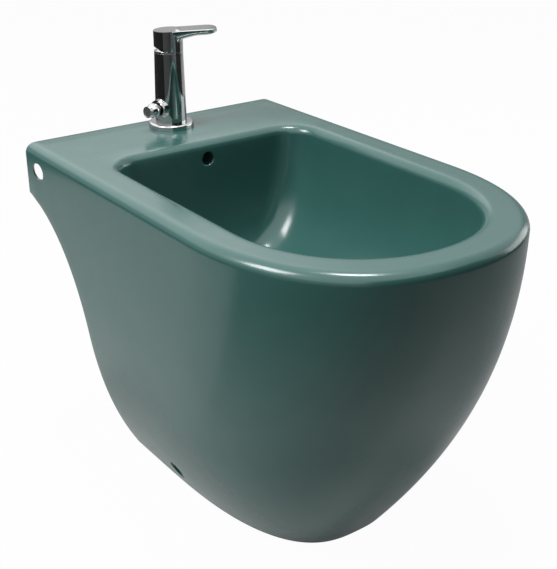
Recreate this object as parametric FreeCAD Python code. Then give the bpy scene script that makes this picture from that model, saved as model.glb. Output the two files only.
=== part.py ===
import FreeCAD, Part
import math
import os

Vector = FreeCAD.Vector

# Floor-standing bidet with a single-lever mixer tap and a push-down waste.
# Millimetres. X runs to the right, Y towards the wall and Z up from the floor.

# Outside of the ceramic body
rim_width = 370.0
rim_depth = 575.0
rim_height = 400.0
rim_front_length = 213.0
rim_front_exponent = 2.25
foot_width = 223.0
foot_front_setback = 146.5
foot_front_length = 254.5
foot_front_exponent = 2.8
side_swell = 3.3
front_swell = 1.96
foot_wall_gap = 110.0
waist_wall_gap = 118.0
waist_height = 185.0
ear_height = 62.5
skirt_wall = 10.0
deck_thickness = 14.0
rim_outer_round = 12.0

# Bowl
bowl_side_rim = 48.0
bowl_front_rim = 45.0
bowl_deck = 126.0
bowl_front_length = 145.0
bowl_front_exponent = 2.11
bowl_floor_exponent = 2.5
bowl_corner_radius = 38.0
bowl_depth = 165.0
bowl_floor_radius = 38.0
bowl_floor_corner = 34.0
bowl_side_power = 2.2
bowl_front_power = 2.0
bowl_rear_power = 4.0
bowl_wall = 9.0
rim_inner_round = 11.0

# Overflow hole and the cast duct that leads it to the waste
overflow_drop = 22.0
overflow_diameter = 16.5
duct_depth = 12.0
duct_width = 40.0
duct_wall = 7.0
duct_headroom = 15.0

# Holes in the ceramic
ear_hole_diameter = 20.0
ear_hole_wall_gap = 32.5
ear_hole_drop = 28.0
ear_hole_angle = 42.0
floor_hole_diameter = 22.0
floor_hole_wall_gap = 242.0
floor_hole_height = 34.0
tap_hole_diameter = 35.0
waste_hole_diameter = 46.0
waste_seat_diameter = 67.0
waste_seat_depth = 3.0
waste_neck_wall = 10.0
waste_neck_length = 30.0
waste_wall_gap = 242.5

# Tap: place, body and base ring
tap_wall_gap = 40.5
spout_angle = 194.0
lever_angle = -30.0
base_ring_diameter = 57.5
base_ring_height = 7.0
base_ring_round = 2.5
base_gasket_diameter = 50.0
base_gasket_width = 4.0
base_gasket_height = 1.5
column_base_diameter = 40.0
column_top_diameter = 36.2
column_top = 95.0
spigot_diameter = 33.6
spigot_depth = 6.0
inlet_thread_diameter = 9.0
inlet_thread_length = 14.0
inlet_back = 4.5
inlet_side = 6.0
port_diameter = 6.4
outlet_port_ahead = 7.0

# Tap fixing below the deck
stud_diameter = 8.0
stud_ahead = 10.0
stud_thread_depth = 12.0
stud_length = 72.0
clamp_diameter = 48.0
clamp_slot_width = 25.0
clamp_slot_reach = 3.0
clamp_washer_thickness = 3.0
clamp_plate_thickness = 3.0
nut_across_flats = 13.0
nut_height = 8.0

# Cartridge with its ceramic discs
cartridge_floor = 60.0
cartridge_diameter = 26.0
cartridge_height = 24.0
cartridge_base_height = 3.0
cartridge_wall = 1.4
cartridge_roof = 2.0
cartridge_neck_diameter = 20.8
cartridge_neck_height = 6.0
port_seal_width = 1.4
port_seal_height = 1.2
fixed_disc_height = 3.0
moving_disc_diameter = 16.0
moving_disc_height = 3.0
mixing_recess_diameter = 10.9
mixing_recess_depth = 1.4
disc_carrier_height = 5.0
carrier_pocket_floor = 0.8
carrier_flange_gap = 1.0
spindle_diameter = 17.8
spindle_top = 93.0
pivot_height = 87.0
stem_pin_diameter = 3.0
stem_width = 7.0
stem_eye_depth = 4.5
stem_arm_diameter = 4.8
stem_ball_diameter = 5.2
stem_top = 112.0
stem_slot_length = 16.0
nut_thread_diameter = 30.4
nut_ring_height = 8.0
nut_ring_bore = 21.2
nut_notch_width = 3.0
nut_notch_depth = 2.5

# Dome, lever and their clearances
seam_ring_height = 2.0
dome_radius = 19.0
dome_wall = 1.5
dome_hole_diameter = 20.0
dome_skirt_wall = 1.3
lever_lift = 15.0
lever_seam = 0.3
lever_head_diameter = 36.5
lever_head_wall = 1.7
lever_top = 119.0
lever_roof = 6.0
lever_reach = 61.0
lever_boss_diameter = 13.0
lever_boss_height = 7.0
lever_screw_diameter = 5.0
lever_screw_length = 9.0
lever_screw_block_width = 9.0
blade_exponent = 4.0
blade_root_inset = 10.0
blade_root_length = 23.0
blade_root_width = 32.5
blade_root_thickness = 13.0
blade_scoop_power = 1.5
blade_neck_width = 27.0
blade_neck_thickness = 3.8
blade_drop_length = 20.0
blade_drop_crest = 9.0
blade_drop_thickness = 8.4
blade_drop_rise = 1.2
blade_tip_fall = 2.0

# Swivelling outlet
spout_height = 26.0
boss_root_diameter = 30.0
boss_face_diameter = 24.0
boss_face = 21.7
swivel_thread_diameter = 16.0
swivel_thread_length = 8.0
swivel_gasket_thickness = 1.5
swivel_collar_diameter = 23.0
swivel_collar_width = 2.5
swivel_pivot = 31.0
swivel_ball_diameter = 12.4
swivel_neck_diameter = 8.0
swivel_bore_diameter = 5.2
swivel_tilt = 15.0
outlet_ball_diameter = 18.6
outlet_split = 2.0
outlet_rear = 4.5
outlet_nozzle_diameter = 14.4
outlet_nozzle_reach = 10.5
cup_washer_thickness = 1.05
cup_washer_bore = 6.2
aerator_diameter = 11.2
aerator_height = 2.8
aerator_seat_diameter = 9.4
aerator_hole_diameter = 1.3
aerator_rings = ((0.0, 1), (2.1, 6), (4.1, 12))

# Waste with its push-down plug
waste_flange_diameter = 63.0
waste_flange_height = 3.0
waste_thread_diameter = 41.9
waste_bore_diameter = 35.0
waste_tail_length = 86.0
trap_thread_length = 34.0
trap_groove_height = 2.0
trap_groove_depth = 0.8
waste_window_width = 16.0
waste_window_height = 12.0
flange_seal_diameter = 61.0
flange_seal_height = 2.0
bridge_width = 8.0
bridge_height = 8.0
bridge_drop = 16.0
bridge_hub_diameter = 18.0
waste_washer_height = 4.0
backnut_across_flats = 52.0
backnut_height = 9.0
plug_sleeve_diameter = 11.0
plug_sleeve_length = 22.0
plug_sleeve_floor = 2.0
plug_sleeve_collar_diameter = 15.0
plug_sleeve_collar_height = 3.0
plug_plunger_diameter = 7.0
plug_plunger_length = 32.0
plug_cap_diameter = 60.0
plug_cap_edge = 3.0
plug_cap_crown = 3.0
plug_travel = 8.0
plug_seal_diameter = 44.0
plug_seal_width = 7.0
plug_seal_height = 2.7

# Clearances
running_gap = 0.08
thread_gap = 0.05
assembly_gap = 0.3
neck_gap = 0.1
cut_margin = 20.0
overlap = 1.0

# Places that follow from the sizes above
wall_y = rim_depth / 2
rim_front_y = -rim_depth / 2
waste_y = wall_y - waste_wall_gap
tap_y = wall_y - tap_wall_gap
bowl_floor_z = rim_height - bowl_depth
waste_seat_z = bowl_floor_z - waste_seat_depth
skirt_shares = (0.0, 0.07, 0.16, 0.28, 0.44, 0.66, 1.0)
bowl_shares = (0.0, 0.08, 0.22, 0.42, 0.62, 0.78, 0.89, 0.955, 0.988, 1.0)
round_angles = (90.0, 67.5, 45.0, 22.5, 0.0)
blade_root_shares = (0.0, 0.35, 0.65, 1.0)
blade_swell_shares = (0.0, 0.5, 1.0)
blade_tip_shares = (0.45, 0.75, 0.92, 0.99)


# Shape helpers

def cylinder(diameter, low, high, x=0.0, y=0.0):
    return Part.makeCylinder(diameter / 2, high - low, Vector(x, y, low))


def tube(outer_diameter, inner_diameter, low, high, x=0.0, y=0.0):
    outer = cylinder(outer_diameter, low, high, x, y)
    return outer.cut(cylinder(inner_diameter, low, high, x, y))


def rod_x(diameter, start, end, z=0.0, y=0.0):
    return Part.makeCylinder(diameter / 2, end - start, Vector(start, y, z), Vector(1, 0, 0))


def box(x_low, x_high, y_low, y_high, z_low, z_high):
    corner = Vector(x_low, y_low, z_low)
    return Part.makeBox(x_high - x_low, y_high - y_low, z_high - z_low, corner)


def hexagon(across_flats, low, high, x=0.0, y=0.0):
    radius = across_flats / math.sqrt(3.0)
    angles = [math.radians(60 * step) for step in range(7)]
    corners = [Vector(x + radius * math.cos(angle), y + radius * math.sin(angle), low) for angle in angles]
    return Part.Face(Part.makePolygon(corners)).extrude(Vector(0, 0, high - low))


def turned(edges):
    """Solid of revolution about Z from edges in the XZ plane."""
    face = Part.Face(Part.Wire(Part.__sortEdges__(edges)))
    return face.revolve(Vector(0, 0, 0), Vector(0, 0, 1), 360)


def line(start, end):
    return Part.makeLine(start, end)


def arc(start, middle, end):
    return Part.Arc(start, middle, end).toShape()


def on_tap(shape, angle):
    """Places a shape made about the tap's axis, with its X axis turned to the given angle."""
    shape.rotate(Vector(0, 0, 0), Vector(0, 0, 1), angle)
    shape.translate(Vector(0, tap_y, rim_height))
    return shape


def on_waste(shape):
    shape.translate(Vector(0, waste_y, 0))
    return shape


def signed_power(value, power):
    return math.copysign(abs(value) ** power, value)


# Ceramic body

def front_curve(half_width, straight_y, front_y, exponent, z):
    """Rounded front of an outline: half a superellipse from the right side to the left."""
    length = straight_y - front_y
    steps = 14
    points = []
    for step in range(steps + 1):
        angle = math.pi * step / steps
        across = abs(math.cos(angle)) / half_width
        along = abs(math.sin(angle)) / length
        reach = (across ** exponent + along ** exponent) ** (-1.0 / exponent)
        points.append(Vector(reach * math.cos(angle), straight_y - reach * math.sin(angle), z))
    points[0] = Vector(half_width, straight_y, z)
    points[-1] = Vector(-half_width, straight_y, z)
    curve = Part.BSplineCurve()
    curve.interpolate(Points=points, InitialTangent=Vector(0, -1, 0), FinalTangent=Vector(0, 1, 0))
    return curve.toShape()


def skirt_section(share, inset):
    """Horizontal outline of the skirt at a share of the rim's height, open to behind the wall plane."""
    z = share * rim_height
    side = 1.0 - (1.0 - share) ** side_swell
    front = 1.0 - (1.0 - share) ** front_swell
    half_width = (foot_width + (rim_width - foot_width) * side) / 2
    front_y = rim_front_y + foot_front_setback * (1.0 - front)
    length = foot_front_length + (rim_front_length - foot_front_length) * share
    exponent = foot_front_exponent + (rim_front_exponent - foot_front_exponent) * share
    straight_y = front_y + length
    half_width = half_width - inset
    rear_y = wall_y + cut_margin
    rear_right = Vector(half_width, rear_y, z)
    rear_left = Vector(-half_width, rear_y, z)
    edges = [
        line(rear_right, Vector(half_width, straight_y, z)),
        front_curve(half_width, straight_y, front_y + inset, exponent, z),
        line(Vector(-half_width, straight_y, z), rear_left),
        line(rear_left, rear_right),
    ]
    return Part.Wire(edges)


def skirt_loft(low_share, high_share, inset):
    span = high_share - low_share
    sections = [skirt_section(low_share + span * share, inset) for share in skirt_shares]
    return Part.makeLoft(sections, True, False)


def rim_round():
    """Rounded outer edge of the rim, from the skirt's last outline up to the rim's top."""
    sections = []
    for angle in reversed(round_angles):
        turn = math.radians(angle)
        z = rim_height - rim_outer_round * (1.0 - math.sin(turn))
        sections.append(skirt_section(z / rim_height, rim_outer_round * (1.0 - math.cos(turn))))
    return Part.makeLoft(sections, True, False)


def rear_cut():
    """Everything behind the foot, the waist's hollow curve and the ears."""
    ear_z = rim_height - ear_height
    foot = Vector(0, wall_y - foot_wall_gap, 0)
    waist = Vector(0, wall_y - waist_wall_gap, waist_height)
    ear = Vector(0, wall_y, ear_z)

    def tangent_arc(end):
        """Arc that leaves the waist upright and passes through the end point."""
        across = end.y - waist.y
        rise = end.z - waist.z
        radius = (across ** 2 + rise ** 2) / (2 * across)
        half_turn = math.atan2(rise, radius - across) / 2
        inward = radius * (1 - math.cos(half_turn))
        middle = Vector(0, waist.y + inward, waist.z + radius * math.sin(half_turn))
        return arc(waist, middle, end)

    low = -cut_margin
    high = rim_height + cut_margin
    back = wall_y + 2 * cut_margin
    below = Vector(0, foot.y, low)
    corners = [ear, Vector(0, wall_y, high), Vector(0, back, high), Vector(0, back, low), below, foot]
    edges = [line(start, end) for start, end in zip(corners[:-1], corners[1:])]
    outline = Part.Wire(Part.__sortEdges__(edges + [tangent_arc(foot), tangent_arc(ear)]))
    prism = Part.Face(outline).extrude(Vector(2 * rim_width, 0, 0))
    prism.translate(Vector(-rim_width, 0, 0))
    return prism


def bowl_section(share, offset, growth=0.0):
    """Outline of the bowl at a share of its depth below the rim, for a bowl that is larger by an offset.

    The growth widens this one outline without moving it up or down.
    """
    def narrowing(power):
        return max(1.0 - share ** power, 0.0) ** (1.0 / power)

    z = rim_height - share * (bowl_depth + offset)
    floor = bowl_floor_radius + offset
    rim_half = rim_width / 2 - bowl_side_rim + offset
    rim_rear = wall_y - bowl_deck + offset
    rim_front = rim_front_y + bowl_front_rim - offset
    half_width = floor + (rim_half - floor) * narrowing(bowl_side_power) + growth
    rear_y = waste_y + floor + (rim_rear - waste_y - floor) * narrowing(bowl_rear_power) + growth
    front_y = waste_y - floor - (waste_y - floor - rim_front) * narrowing(bowl_front_power) - growth
    rim_straight = rim_front + bowl_front_length + offset
    straight_y = waste_y + (rim_straight - waste_y) * narrowing(bowl_front_power)
    exponent = bowl_floor_exponent + (bowl_front_exponent - bowl_floor_exponent) * narrowing(bowl_front_power)
    floor_corner = bowl_floor_corner + offset
    corner = floor_corner + (bowl_corner_radius + offset - floor_corner) * narrowing(bowl_side_power) + growth
    slant = corner * (1.0 - math.sqrt(0.5))
    rear_right = Vector(half_width, rear_y - corner, z)
    rear_left = Vector(-half_width, rear_y - corner, z)
    back_right = Vector(half_width - corner, rear_y, z)
    back_left = Vector(corner - half_width, rear_y, z)
    edges = [
        line(rear_right, Vector(half_width, straight_y, z)),
        front_curve(half_width, straight_y, front_y, exponent, z),
        line(Vector(-half_width, straight_y, z), rear_left),
        arc(rear_left, Vector(slant - half_width, rear_y - slant, z), back_left),
        line(back_left, back_right),
        arc(back_right, Vector(half_width - slant, rear_y - slant, z), rear_right),
    ]
    return Part.Wire(edges)


def bowl_inside():
    """Solid of the bowl's inside, with its rounded lip up to the rim."""
    sections = []
    for angle in round_angles[:-1]:
        turn = math.radians(angle)
        drop = rim_inner_round * (1.0 - math.sin(turn))
        sections.append(bowl_section(drop / bowl_depth, 0.0, rim_inner_round * (1.0 - math.cos(turn))))
    lip = rim_inner_round / bowl_depth
    sections += [bowl_section(lip + (1.0 - lip) * share, 0.0) for share in bowl_shares]
    return Part.makeLoft(sections, True, False)


def bowl_outside(offset):
    """Solid of the bowl, larger by an offset, from inside the deck down."""
    start = deck_thickness / 2 / (bowl_depth + offset)
    sections = [bowl_section(start + (1.0 - start) * share, offset) for share in bowl_shares]
    return Part.makeLoft(sections, True, False)


def ceramic_body():
    skirt = skirt_loft(0.0, 1.0 - rim_outer_round / rim_height, 0.0)
    outside = skirt.fuse(rim_round()).removeSplitter()
    outside = outside.cut(rear_cut()).cut(bowl_inside())

    duct_high = rim_height - overflow_drop + duct_headroom
    half_outer = duct_width / 2 + duct_wall
    duct_outside = bowl_outside(bowl_wall + duct_depth + duct_wall)
    duct_outside = duct_outside.common(box(-half_outer, half_outer, waste_y, wall_y, 0, rim_height))
    bowl_shell = bowl_outside(bowl_wall)
    duct_inside = bowl_outside(bowl_wall + duct_depth)
    duct_inside = duct_inside.common(box(-duct_width / 2, duct_width / 2, waste_y, wall_y, 0, duct_high))
    duct_inside = duct_inside.cut(bowl_shell)
    neck_diameter = waste_hole_diameter + 2 * waste_neck_wall
    neck_low = bowl_floor_z - bowl_wall - waste_neck_length
    neck = on_waste(cylinder(neck_diameter, neck_low, bowl_floor_z - bowl_wall / 2))

    hollow_top = (rim_height - deck_thickness) / rim_height
    hollow = skirt_loft(-cut_margin / rim_height, hollow_top, skirt_wall)
    hollow = hollow.cut(bowl_shell.fuse([duct_outside, neck]))

    ear_hole_y = wall_y - ear_hole_wall_gap
    ear_hole_z = rim_height - ear_hole_drop
    slope = math.radians(ear_hole_angle)
    holes = [
        cylinder(tap_hole_diameter, rim_height - deck_thickness - overlap, rim_height + overlap, 0, tap_y),
        on_waste(cylinder(waste_hole_diameter, neck_low - overlap, bowl_floor_z)),
        on_waste(cylinder(waste_seat_diameter, waste_seat_z, bowl_floor_z + overlap)),
        rod_x(floor_hole_diameter, -rim_width, rim_width, floor_hole_height, wall_y - floor_hole_wall_gap),
        Part.makeCylinder(overflow_diameter / 2, bowl_wall + duct_depth / 2 + bowl_corner_radius,
                          Vector(0, wall_y - bowl_deck - bowl_corner_radius, rim_height - overflow_drop),
                          Vector(0, 1, 0)),
    ]
    for side in (-1, 1):
        inward = Vector(-side * math.cos(slope), math.sin(slope), 0)
        mouth = Vector(side * rim_width / 2, ear_hole_y, ear_hole_z)
        holes.append(Part.makeCylinder(ear_hole_diameter / 2, 2 * cut_margin + skirt_wall,
                                       mouth - inward * cut_margin, inward))
    return outside.cut(hollow).cut([duct_inside] + holes)


# Tap body and its seat

def base_ring():
    ring = tube(base_ring_diameter, spigot_diameter + assembly_gap, 0, base_ring_height)
    wide = spigot_diameter + overlap
    top_edge = [edge for edge in ring.Edges
                if edge.BoundBox.ZMin > base_ring_height / 2 and edge.BoundBox.XLength > wide]
    ring = ring.makeFillet(base_ring_round, top_edge)
    groove = 2 * assembly_gap
    inner = base_gasket_diameter - 2 * base_gasket_width - groove
    return ring.cut(tube(base_gasket_diameter + groove, inner, 0, base_gasket_height))


def base_gasket():
    return tube(base_gasket_diameter, base_gasket_diameter - 2 * base_gasket_width, 0, base_gasket_height)


def port_places():
    """Two inlets and the outlet, in the tap's own frame with X along the spout."""
    return [(-inlet_back, inlet_side), (-inlet_back, -inlet_side), (outlet_port_ahead, 0.0)]


def tap_body():
    column = Part.makeCone(column_base_diameter / 2, column_top_diameter / 2, column_top - base_ring_height,
                           Vector(0, 0, base_ring_height))
    spigot = cylinder(spigot_diameter, -spigot_depth, base_ring_height)
    boss = Part.makeCone(boss_root_diameter / 2, boss_face_diameter / 2, boss_face,
                         Vector(0, 0, spout_height), Vector(1, 0, 0))
    body = column.fuse([spigot, boss])
    nut_low = cartridge_floor + cartridge_height
    thread_start = boss_face - swivel_thread_length - swivel_gasket_thickness
    inlet_high = inlet_thread_length - spigot_depth
    cuts = [
        cylinder(cartridge_diameter + 2 * thread_gap, cartridge_floor, column_top),
        cylinder(nut_thread_diameter + 2 * thread_gap, nut_low, column_top),
        rod_x(swivel_thread_diameter + 2 * thread_gap, thread_start, boss_face, spout_height),
        rod_x(port_diameter, outlet_port_ahead, boss_face, spout_height),
        cylinder(stud_diameter + 2 * thread_gap, -spigot_depth, stud_thread_depth - spigot_depth, stud_ahead),
        cylinder(port_diameter, spout_height, cartridge_floor, outlet_port_ahead),
    ]
    for side in (-1, 1):
        place = (-inlet_back, side * inlet_side)
        cuts.append(cylinder(inlet_thread_diameter, -spigot_depth, inlet_high, *place))
        cuts.append(cylinder(port_diameter, -spigot_depth, cartridge_floor, *place))
    return body.cut(cuts)


def mounting_stud():
    top = stud_thread_depth - spigot_depth
    return cylinder(stud_diameter, top - stud_length, top, stud_ahead)


def clamp_horseshoe(low, high):
    """Half-open clamp round the supply inlets, with a hole for the stud."""
    disc = cylinder(clamp_diameter, low, high)
    slot = box(-clamp_diameter, clamp_slot_reach, -clamp_slot_width / 2, clamp_slot_width / 2, low, high)
    hole = cylinder(stud_diameter + 2 * assembly_gap, low, high, stud_ahead)
    return disc.cut([slot, hole])


def clamp_washer():
    return clamp_horseshoe(-deck_thickness - clamp_washer_thickness, -deck_thickness)


def clamp_plate():
    high = -deck_thickness - clamp_washer_thickness
    return clamp_horseshoe(high - clamp_plate_thickness, high)


def clamp_nut():
    high = -deck_thickness - clamp_washer_thickness - clamp_plate_thickness
    nut = hexagon(nut_across_flats, high - nut_height, high, stud_ahead)
    return nut.cut(cylinder(stud_diameter + 2 * thread_gap, high - nut_height, high, stud_ahead))


# Cartridge

cartridge_inside = cartridge_diameter - 2 * cartridge_wall
fixed_disc_top = cartridge_floor + cartridge_base_height + fixed_disc_height
moving_disc_top = fixed_disc_top + moving_disc_height
disc_carrier_top = moving_disc_top + disc_carrier_height
carrier_flange_low = disc_carrier_top + carrier_flange_gap
cartridge_shoulder = cartridge_floor + cartridge_height
carrier_flange_top = cartridge_shoulder - cartridge_roof
stem_ball_height = moving_disc_top + carrier_pocket_floor + assembly_gap + stem_ball_diameter / 2
disc_stroke = (pivot_height - stem_ball_height) * math.radians(lever_lift)


def cartridge_base():
    high = cartridge_floor + cartridge_base_height
    disc = cylinder(cartridge_diameter, cartridge_floor, high)
    seat = port_diameter + 2 * port_seal_width + assembly_gap
    cuts = []
    for x, y in port_places():
        cuts.append(cylinder(port_diameter, cartridge_floor, high, x, y))
        cuts.append(cylinder(seat, cartridge_floor, cartridge_floor + port_seal_height, x, y))
    return disc.cut(cuts)


def port_seals():
    outer = port_diameter + 2 * port_seal_width
    high = cartridge_floor + port_seal_height
    rings = [tube(outer, port_diameter, cartridge_floor, high, x, y) for x, y in port_places()]
    return Part.makeCompound(rings)


def cartridge_housing():
    low = cartridge_floor + cartridge_base_height
    outside = cylinder(cartridge_diameter, low, cartridge_shoulder)
    neck = cylinder(cartridge_neck_diameter, low, cartridge_shoulder + cartridge_neck_height)
    housing = outside.fuse(neck)
    chamber = cylinder(cartridge_inside, low, carrier_flange_top)
    bore = cylinder(spindle_diameter + 2 * running_gap, low, cartridge_shoulder + cartridge_neck_height)
    return housing.cut([chamber, bore])


def fixed_disc():
    low = cartridge_floor + cartridge_base_height
    disc = cylinder(cartridge_inside - assembly_gap, low, fixed_disc_top)
    return disc.cut([cylinder(port_diameter, low, fixed_disc_top, x, y) for x, y in port_places()])


def moving_disc():
    centre = -disc_stroke / 2
    disc = cylinder(moving_disc_diameter, fixed_disc_top, moving_disc_top, centre)
    recess = cylinder(mixing_recess_diameter, fixed_disc_top, fixed_disc_top + mixing_recess_depth, centre)
    return disc.cut(recess)


def disc_carrier():
    carrier = cylinder(moving_disc_diameter, moving_disc_top, disc_carrier_top, -disc_stroke / 2)
    pocket_floor = moving_disc_top + carrier_pocket_floor
    return carrier.cut(cylinder(stem_ball_diameter + 2 * assembly_gap, pocket_floor, disc_carrier_top))


def stem_slot(gap):
    half = stem_width / 2 + gap
    return box(-stem_slot_length / 2, stem_slot_length / 2, -half, half, carrier_flange_low, spindle_top)


def spindle_carrier():
    flange = cylinder(cartridge_inside - 2 * running_gap, carrier_flange_low, carrier_flange_top)
    neck = cylinder(spindle_diameter, carrier_flange_low, spindle_top)
    return flange.fuse(neck).cut([stem_slot(assembly_gap / 2), pin_rod(stem_pin_diameter)])


def pin_rod(diameter):
    half = math.sqrt(spindle_diameter ** 2 - stem_pin_diameter ** 2) / 2 - running_gap
    return Part.makeCylinder(diameter / 2, 2 * half, Vector(0, -half, pivot_height), Vector(0, 1, 0))


def stem_pin():
    return pin_rod(stem_pin_diameter)


def lever_stem():
    half = stem_width / 2
    square_low = pivot_height - stem_eye_depth
    square = box(-half, half, -half, half, square_low, stem_top)
    arm = cylinder(stem_arm_diameter, stem_ball_height, square_low)
    ball = Part.makeSphere(stem_ball_diameter / 2, Vector(0, 0, stem_ball_height))
    return square.fuse([arm, ball]).cut(pin_rod(stem_pin_diameter + 2 * running_gap))


def cartridge_nut():
    high = cartridge_shoulder + nut_ring_height
    ring = tube(nut_thread_diameter, nut_ring_bore, cartridge_shoulder, high)
    half = nut_notch_width / 2
    notch = box(-nut_thread_diameter, nut_thread_diameter, -half, half, high - nut_notch_depth, high)
    return ring.cut(notch)


# Dome and lever

def dome_cover():
    """Ring in the seam below the lever, with a dome round the lever's pivot and a skirt down to the nut."""
    ring_top = column_top + seam_ring_height
    inner_radius = dome_radius - dome_wall
    hole_radius = dome_hole_diameter / 2

    def on_sphere(radius, across):
        return Vector(across, 0, pivot_height + math.sqrt(radius ** 2 - across ** 2))

    def at_height(radius, z):
        return Vector(math.sqrt(radius ** 2 - (z - pivot_height) ** 2), 0, z)

    nut_top = cartridge_shoulder + nut_ring_height
    skirt_outer = nut_thread_diameter / 2
    skirt_inner = skirt_outer - dome_skirt_wall
    ring_outer = column_top_diameter / 2
    outer_low = at_height(dome_radius, ring_top)
    outer_high = on_sphere(dome_radius, hole_radius)
    outer_middle = on_sphere(dome_radius, (outer_low.x + outer_high.x) / 2)
    inner_high = on_sphere(inner_radius, hole_radius)
    inner_low = on_sphere(inner_radius, skirt_inner)
    inner_middle = on_sphere(inner_radius, (inner_low.x + inner_high.x) / 2)
    corners = [inner_low, Vector(skirt_inner, 0, nut_top), Vector(skirt_outer, 0, nut_top),
               Vector(skirt_outer, 0, column_top), Vector(ring_outer, 0, column_top),
               Vector(ring_outer, 0, ring_top), outer_low]
    edges = [line(start, end) for start, end in zip(corners[:-1], corners[1:])]
    edges.append(arc(outer_low, outer_middle, outer_high))
    edges.append(line(outer_high, inner_high))
    edges.append(arc(inner_high, inner_middle, inner_low))
    return turned(edges)


def blade_section(x, width, thickness, top):
    """Upright section of the lever's blade: a superellipse with its crown at the given height."""
    steps = 24
    points = []
    for step in range(steps):
        angle = 2 * math.pi * step / steps
        across = signed_power(math.cos(angle), 2 / blade_exponent) * width / 2
        rise = signed_power(math.sin(angle), 2 / blade_exponent) * thickness / 2
        points.append(Vector(x, across, top - thickness / 2 + rise))
    curve = Part.BSplineCurve()
    curve.interpolate(Points=points, PeriodicFlag=True)
    return Part.Wire(curve.toShape())


def lever_blade():
    """Thin flat blade that leaves the head through a scooped root and ends in a thick drop."""
    root_start = lever_head_diameter / 2 - blade_root_inset
    drop_start = lever_reach - blade_drop_length
    crest = drop_start + blade_drop_crest
    sections = []
    for share in blade_root_shares:
        width = blade_root_width + (blade_neck_width - blade_root_width) * share
        scoop = (1.0 - share) ** blade_scoop_power
        thickness = blade_neck_thickness + (blade_root_thickness - blade_neck_thickness) * scoop
        sections.append(blade_section(root_start + blade_root_length * share, width, thickness, lever_top))
    for share in blade_swell_shares:
        swell = (1.0 - math.cos(math.pi * share)) / 2
        thickness = blade_neck_thickness + (blade_drop_thickness - blade_neck_thickness) * swell
        top = lever_top + blade_drop_rise * swell
        place = drop_start + blade_drop_crest * share
        sections.append(blade_section(place, blade_neck_width, thickness, top))
    for share in blade_tip_shares:
        taper = math.sqrt(1.0 - share ** 2)
        top = lever_top + blade_drop_rise - blade_tip_fall * (1.0 - taper)
        place = crest + (lever_reach - crest) * share
        sections.append(blade_section(place, blade_neck_width * taper, blade_drop_thickness * taper, top))
    return Part.makeLoft(sections, True, False)


def lever_handle():
    low = column_top + seam_ring_height + lever_seam
    inside_top = lever_top - lever_roof
    boss_low = inside_top - lever_boss_height
    head = cylinder(lever_head_diameter, low, lever_top)
    handle = head.fuse(lever_blade())
    inner = lever_head_diameter - 2 * lever_head_wall
    handle = handle.cut(cylinder(inner, low - overlap, inside_top))
    block = box(-lever_head_diameter / 2 + lever_head_wall / 2, 0, -lever_screw_block_width / 2,
                lever_screw_block_width / 2, boss_low, inside_top + overlap)
    boss = cylinder(lever_boss_diameter, boss_low, inside_top + overlap)
    handle = handle.fuse([boss, block])
    half = stem_width / 2 + thread_gap
    socket = box(-half, half, -half, half, boss_low, stem_top + assembly_gap)
    screw_hole = rod_x(lever_screw_diameter + 2 * thread_gap, -lever_head_diameter, 0, screw_height())
    swing = box(-lever_head_diameter, lever_head_diameter, -lever_head_diameter, lever_head_diameter,
                low - lever_head_diameter, low)
    swing.rotate(Vector(0, 0, pivot_height), Vector(0, 1, 0), lever_lift)
    return handle.cut([socket, screw_hole, swing])


def screw_height():
    return lever_top - lever_roof - lever_boss_height / 2


def lever_screw():
    start = -stem_width / 2 - lever_screw_length
    screw = rod_x(lever_screw_diameter, start, -stem_width / 2, screw_height())
    key = hexagon(lever_screw_diameter / 2, 0, lever_screw_length / 3)
    key.rotate(Vector(0, 0, 0), Vector(0, 1, 0), 90)
    key.translate(Vector(start, 0, screw_height()))
    return screw.cut(key)


# Swivelling outlet, made along X from the tap's axis at the spout's height

def outlet_sphere(diameter):
    return Part.makeSphere(diameter / 2, Vector(swivel_pivot, 0, spout_height))


def slab_x(start, end):
    reach = outlet_ball_diameter
    return box(start, end, -reach, reach, spout_height - reach, spout_height + reach)


def swivel_gasket():
    low = boss_face - swivel_thread_length - swivel_gasket_thickness
    ring = rod_x(swivel_thread_diameter - 2 * assembly_gap, low, low + swivel_gasket_thickness, spout_height)
    return ring.cut(rod_x(port_diameter, low, low + swivel_gasket_thickness, spout_height))


def swivel_base():
    start = boss_face - swivel_thread_length
    thread = rod_x(swivel_thread_diameter, start, boss_face, spout_height)
    collar = rod_x(swivel_collar_diameter, boss_face, boss_face + swivel_collar_width, spout_height)
    neck = rod_x(swivel_neck_diameter, boss_face, swivel_pivot, spout_height)
    solid = thread.fuse([collar, neck, outlet_sphere(swivel_ball_diameter)])
    return solid.cut(rod_x(swivel_bore_diameter, start, swivel_pivot + swivel_ball_diameter, spout_height))


def cup_washer():
    inner = swivel_ball_diameter + 2 * running_gap
    cup = outlet_sphere(inner + 2 * cup_washer_thickness).cut(outlet_sphere(inner))
    front = slab_x(swivel_pivot + outlet_split, swivel_pivot + swivel_ball_diameter)
    return cup.common(front).cut(rod_x(cup_washer_bore, swivel_pivot, 2 * swivel_pivot, spout_height))


outlet_cavity = swivel_ball_diameter + 2 * cup_washer_thickness + 4 * running_gap


def outlet_point(ahead, radius):
    """Point of a profile that is turned about the spout's axis, ahead of the swivel's pivot."""
    return Vector(swivel_pivot + ahead, 0, spout_height + radius)


def outlet_arc(diameter, start_ahead, end_ahead):
    """Arc on a sphere round the swivel's pivot between two places along the spout's axis."""
    places = (start_ahead, (start_ahead + end_ahead) / 2, end_ahead)
    return arc(*[outlet_point(ahead, math.sqrt(diameter ** 2 / 4 - ahead ** 2)) for ahead in places])


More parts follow.
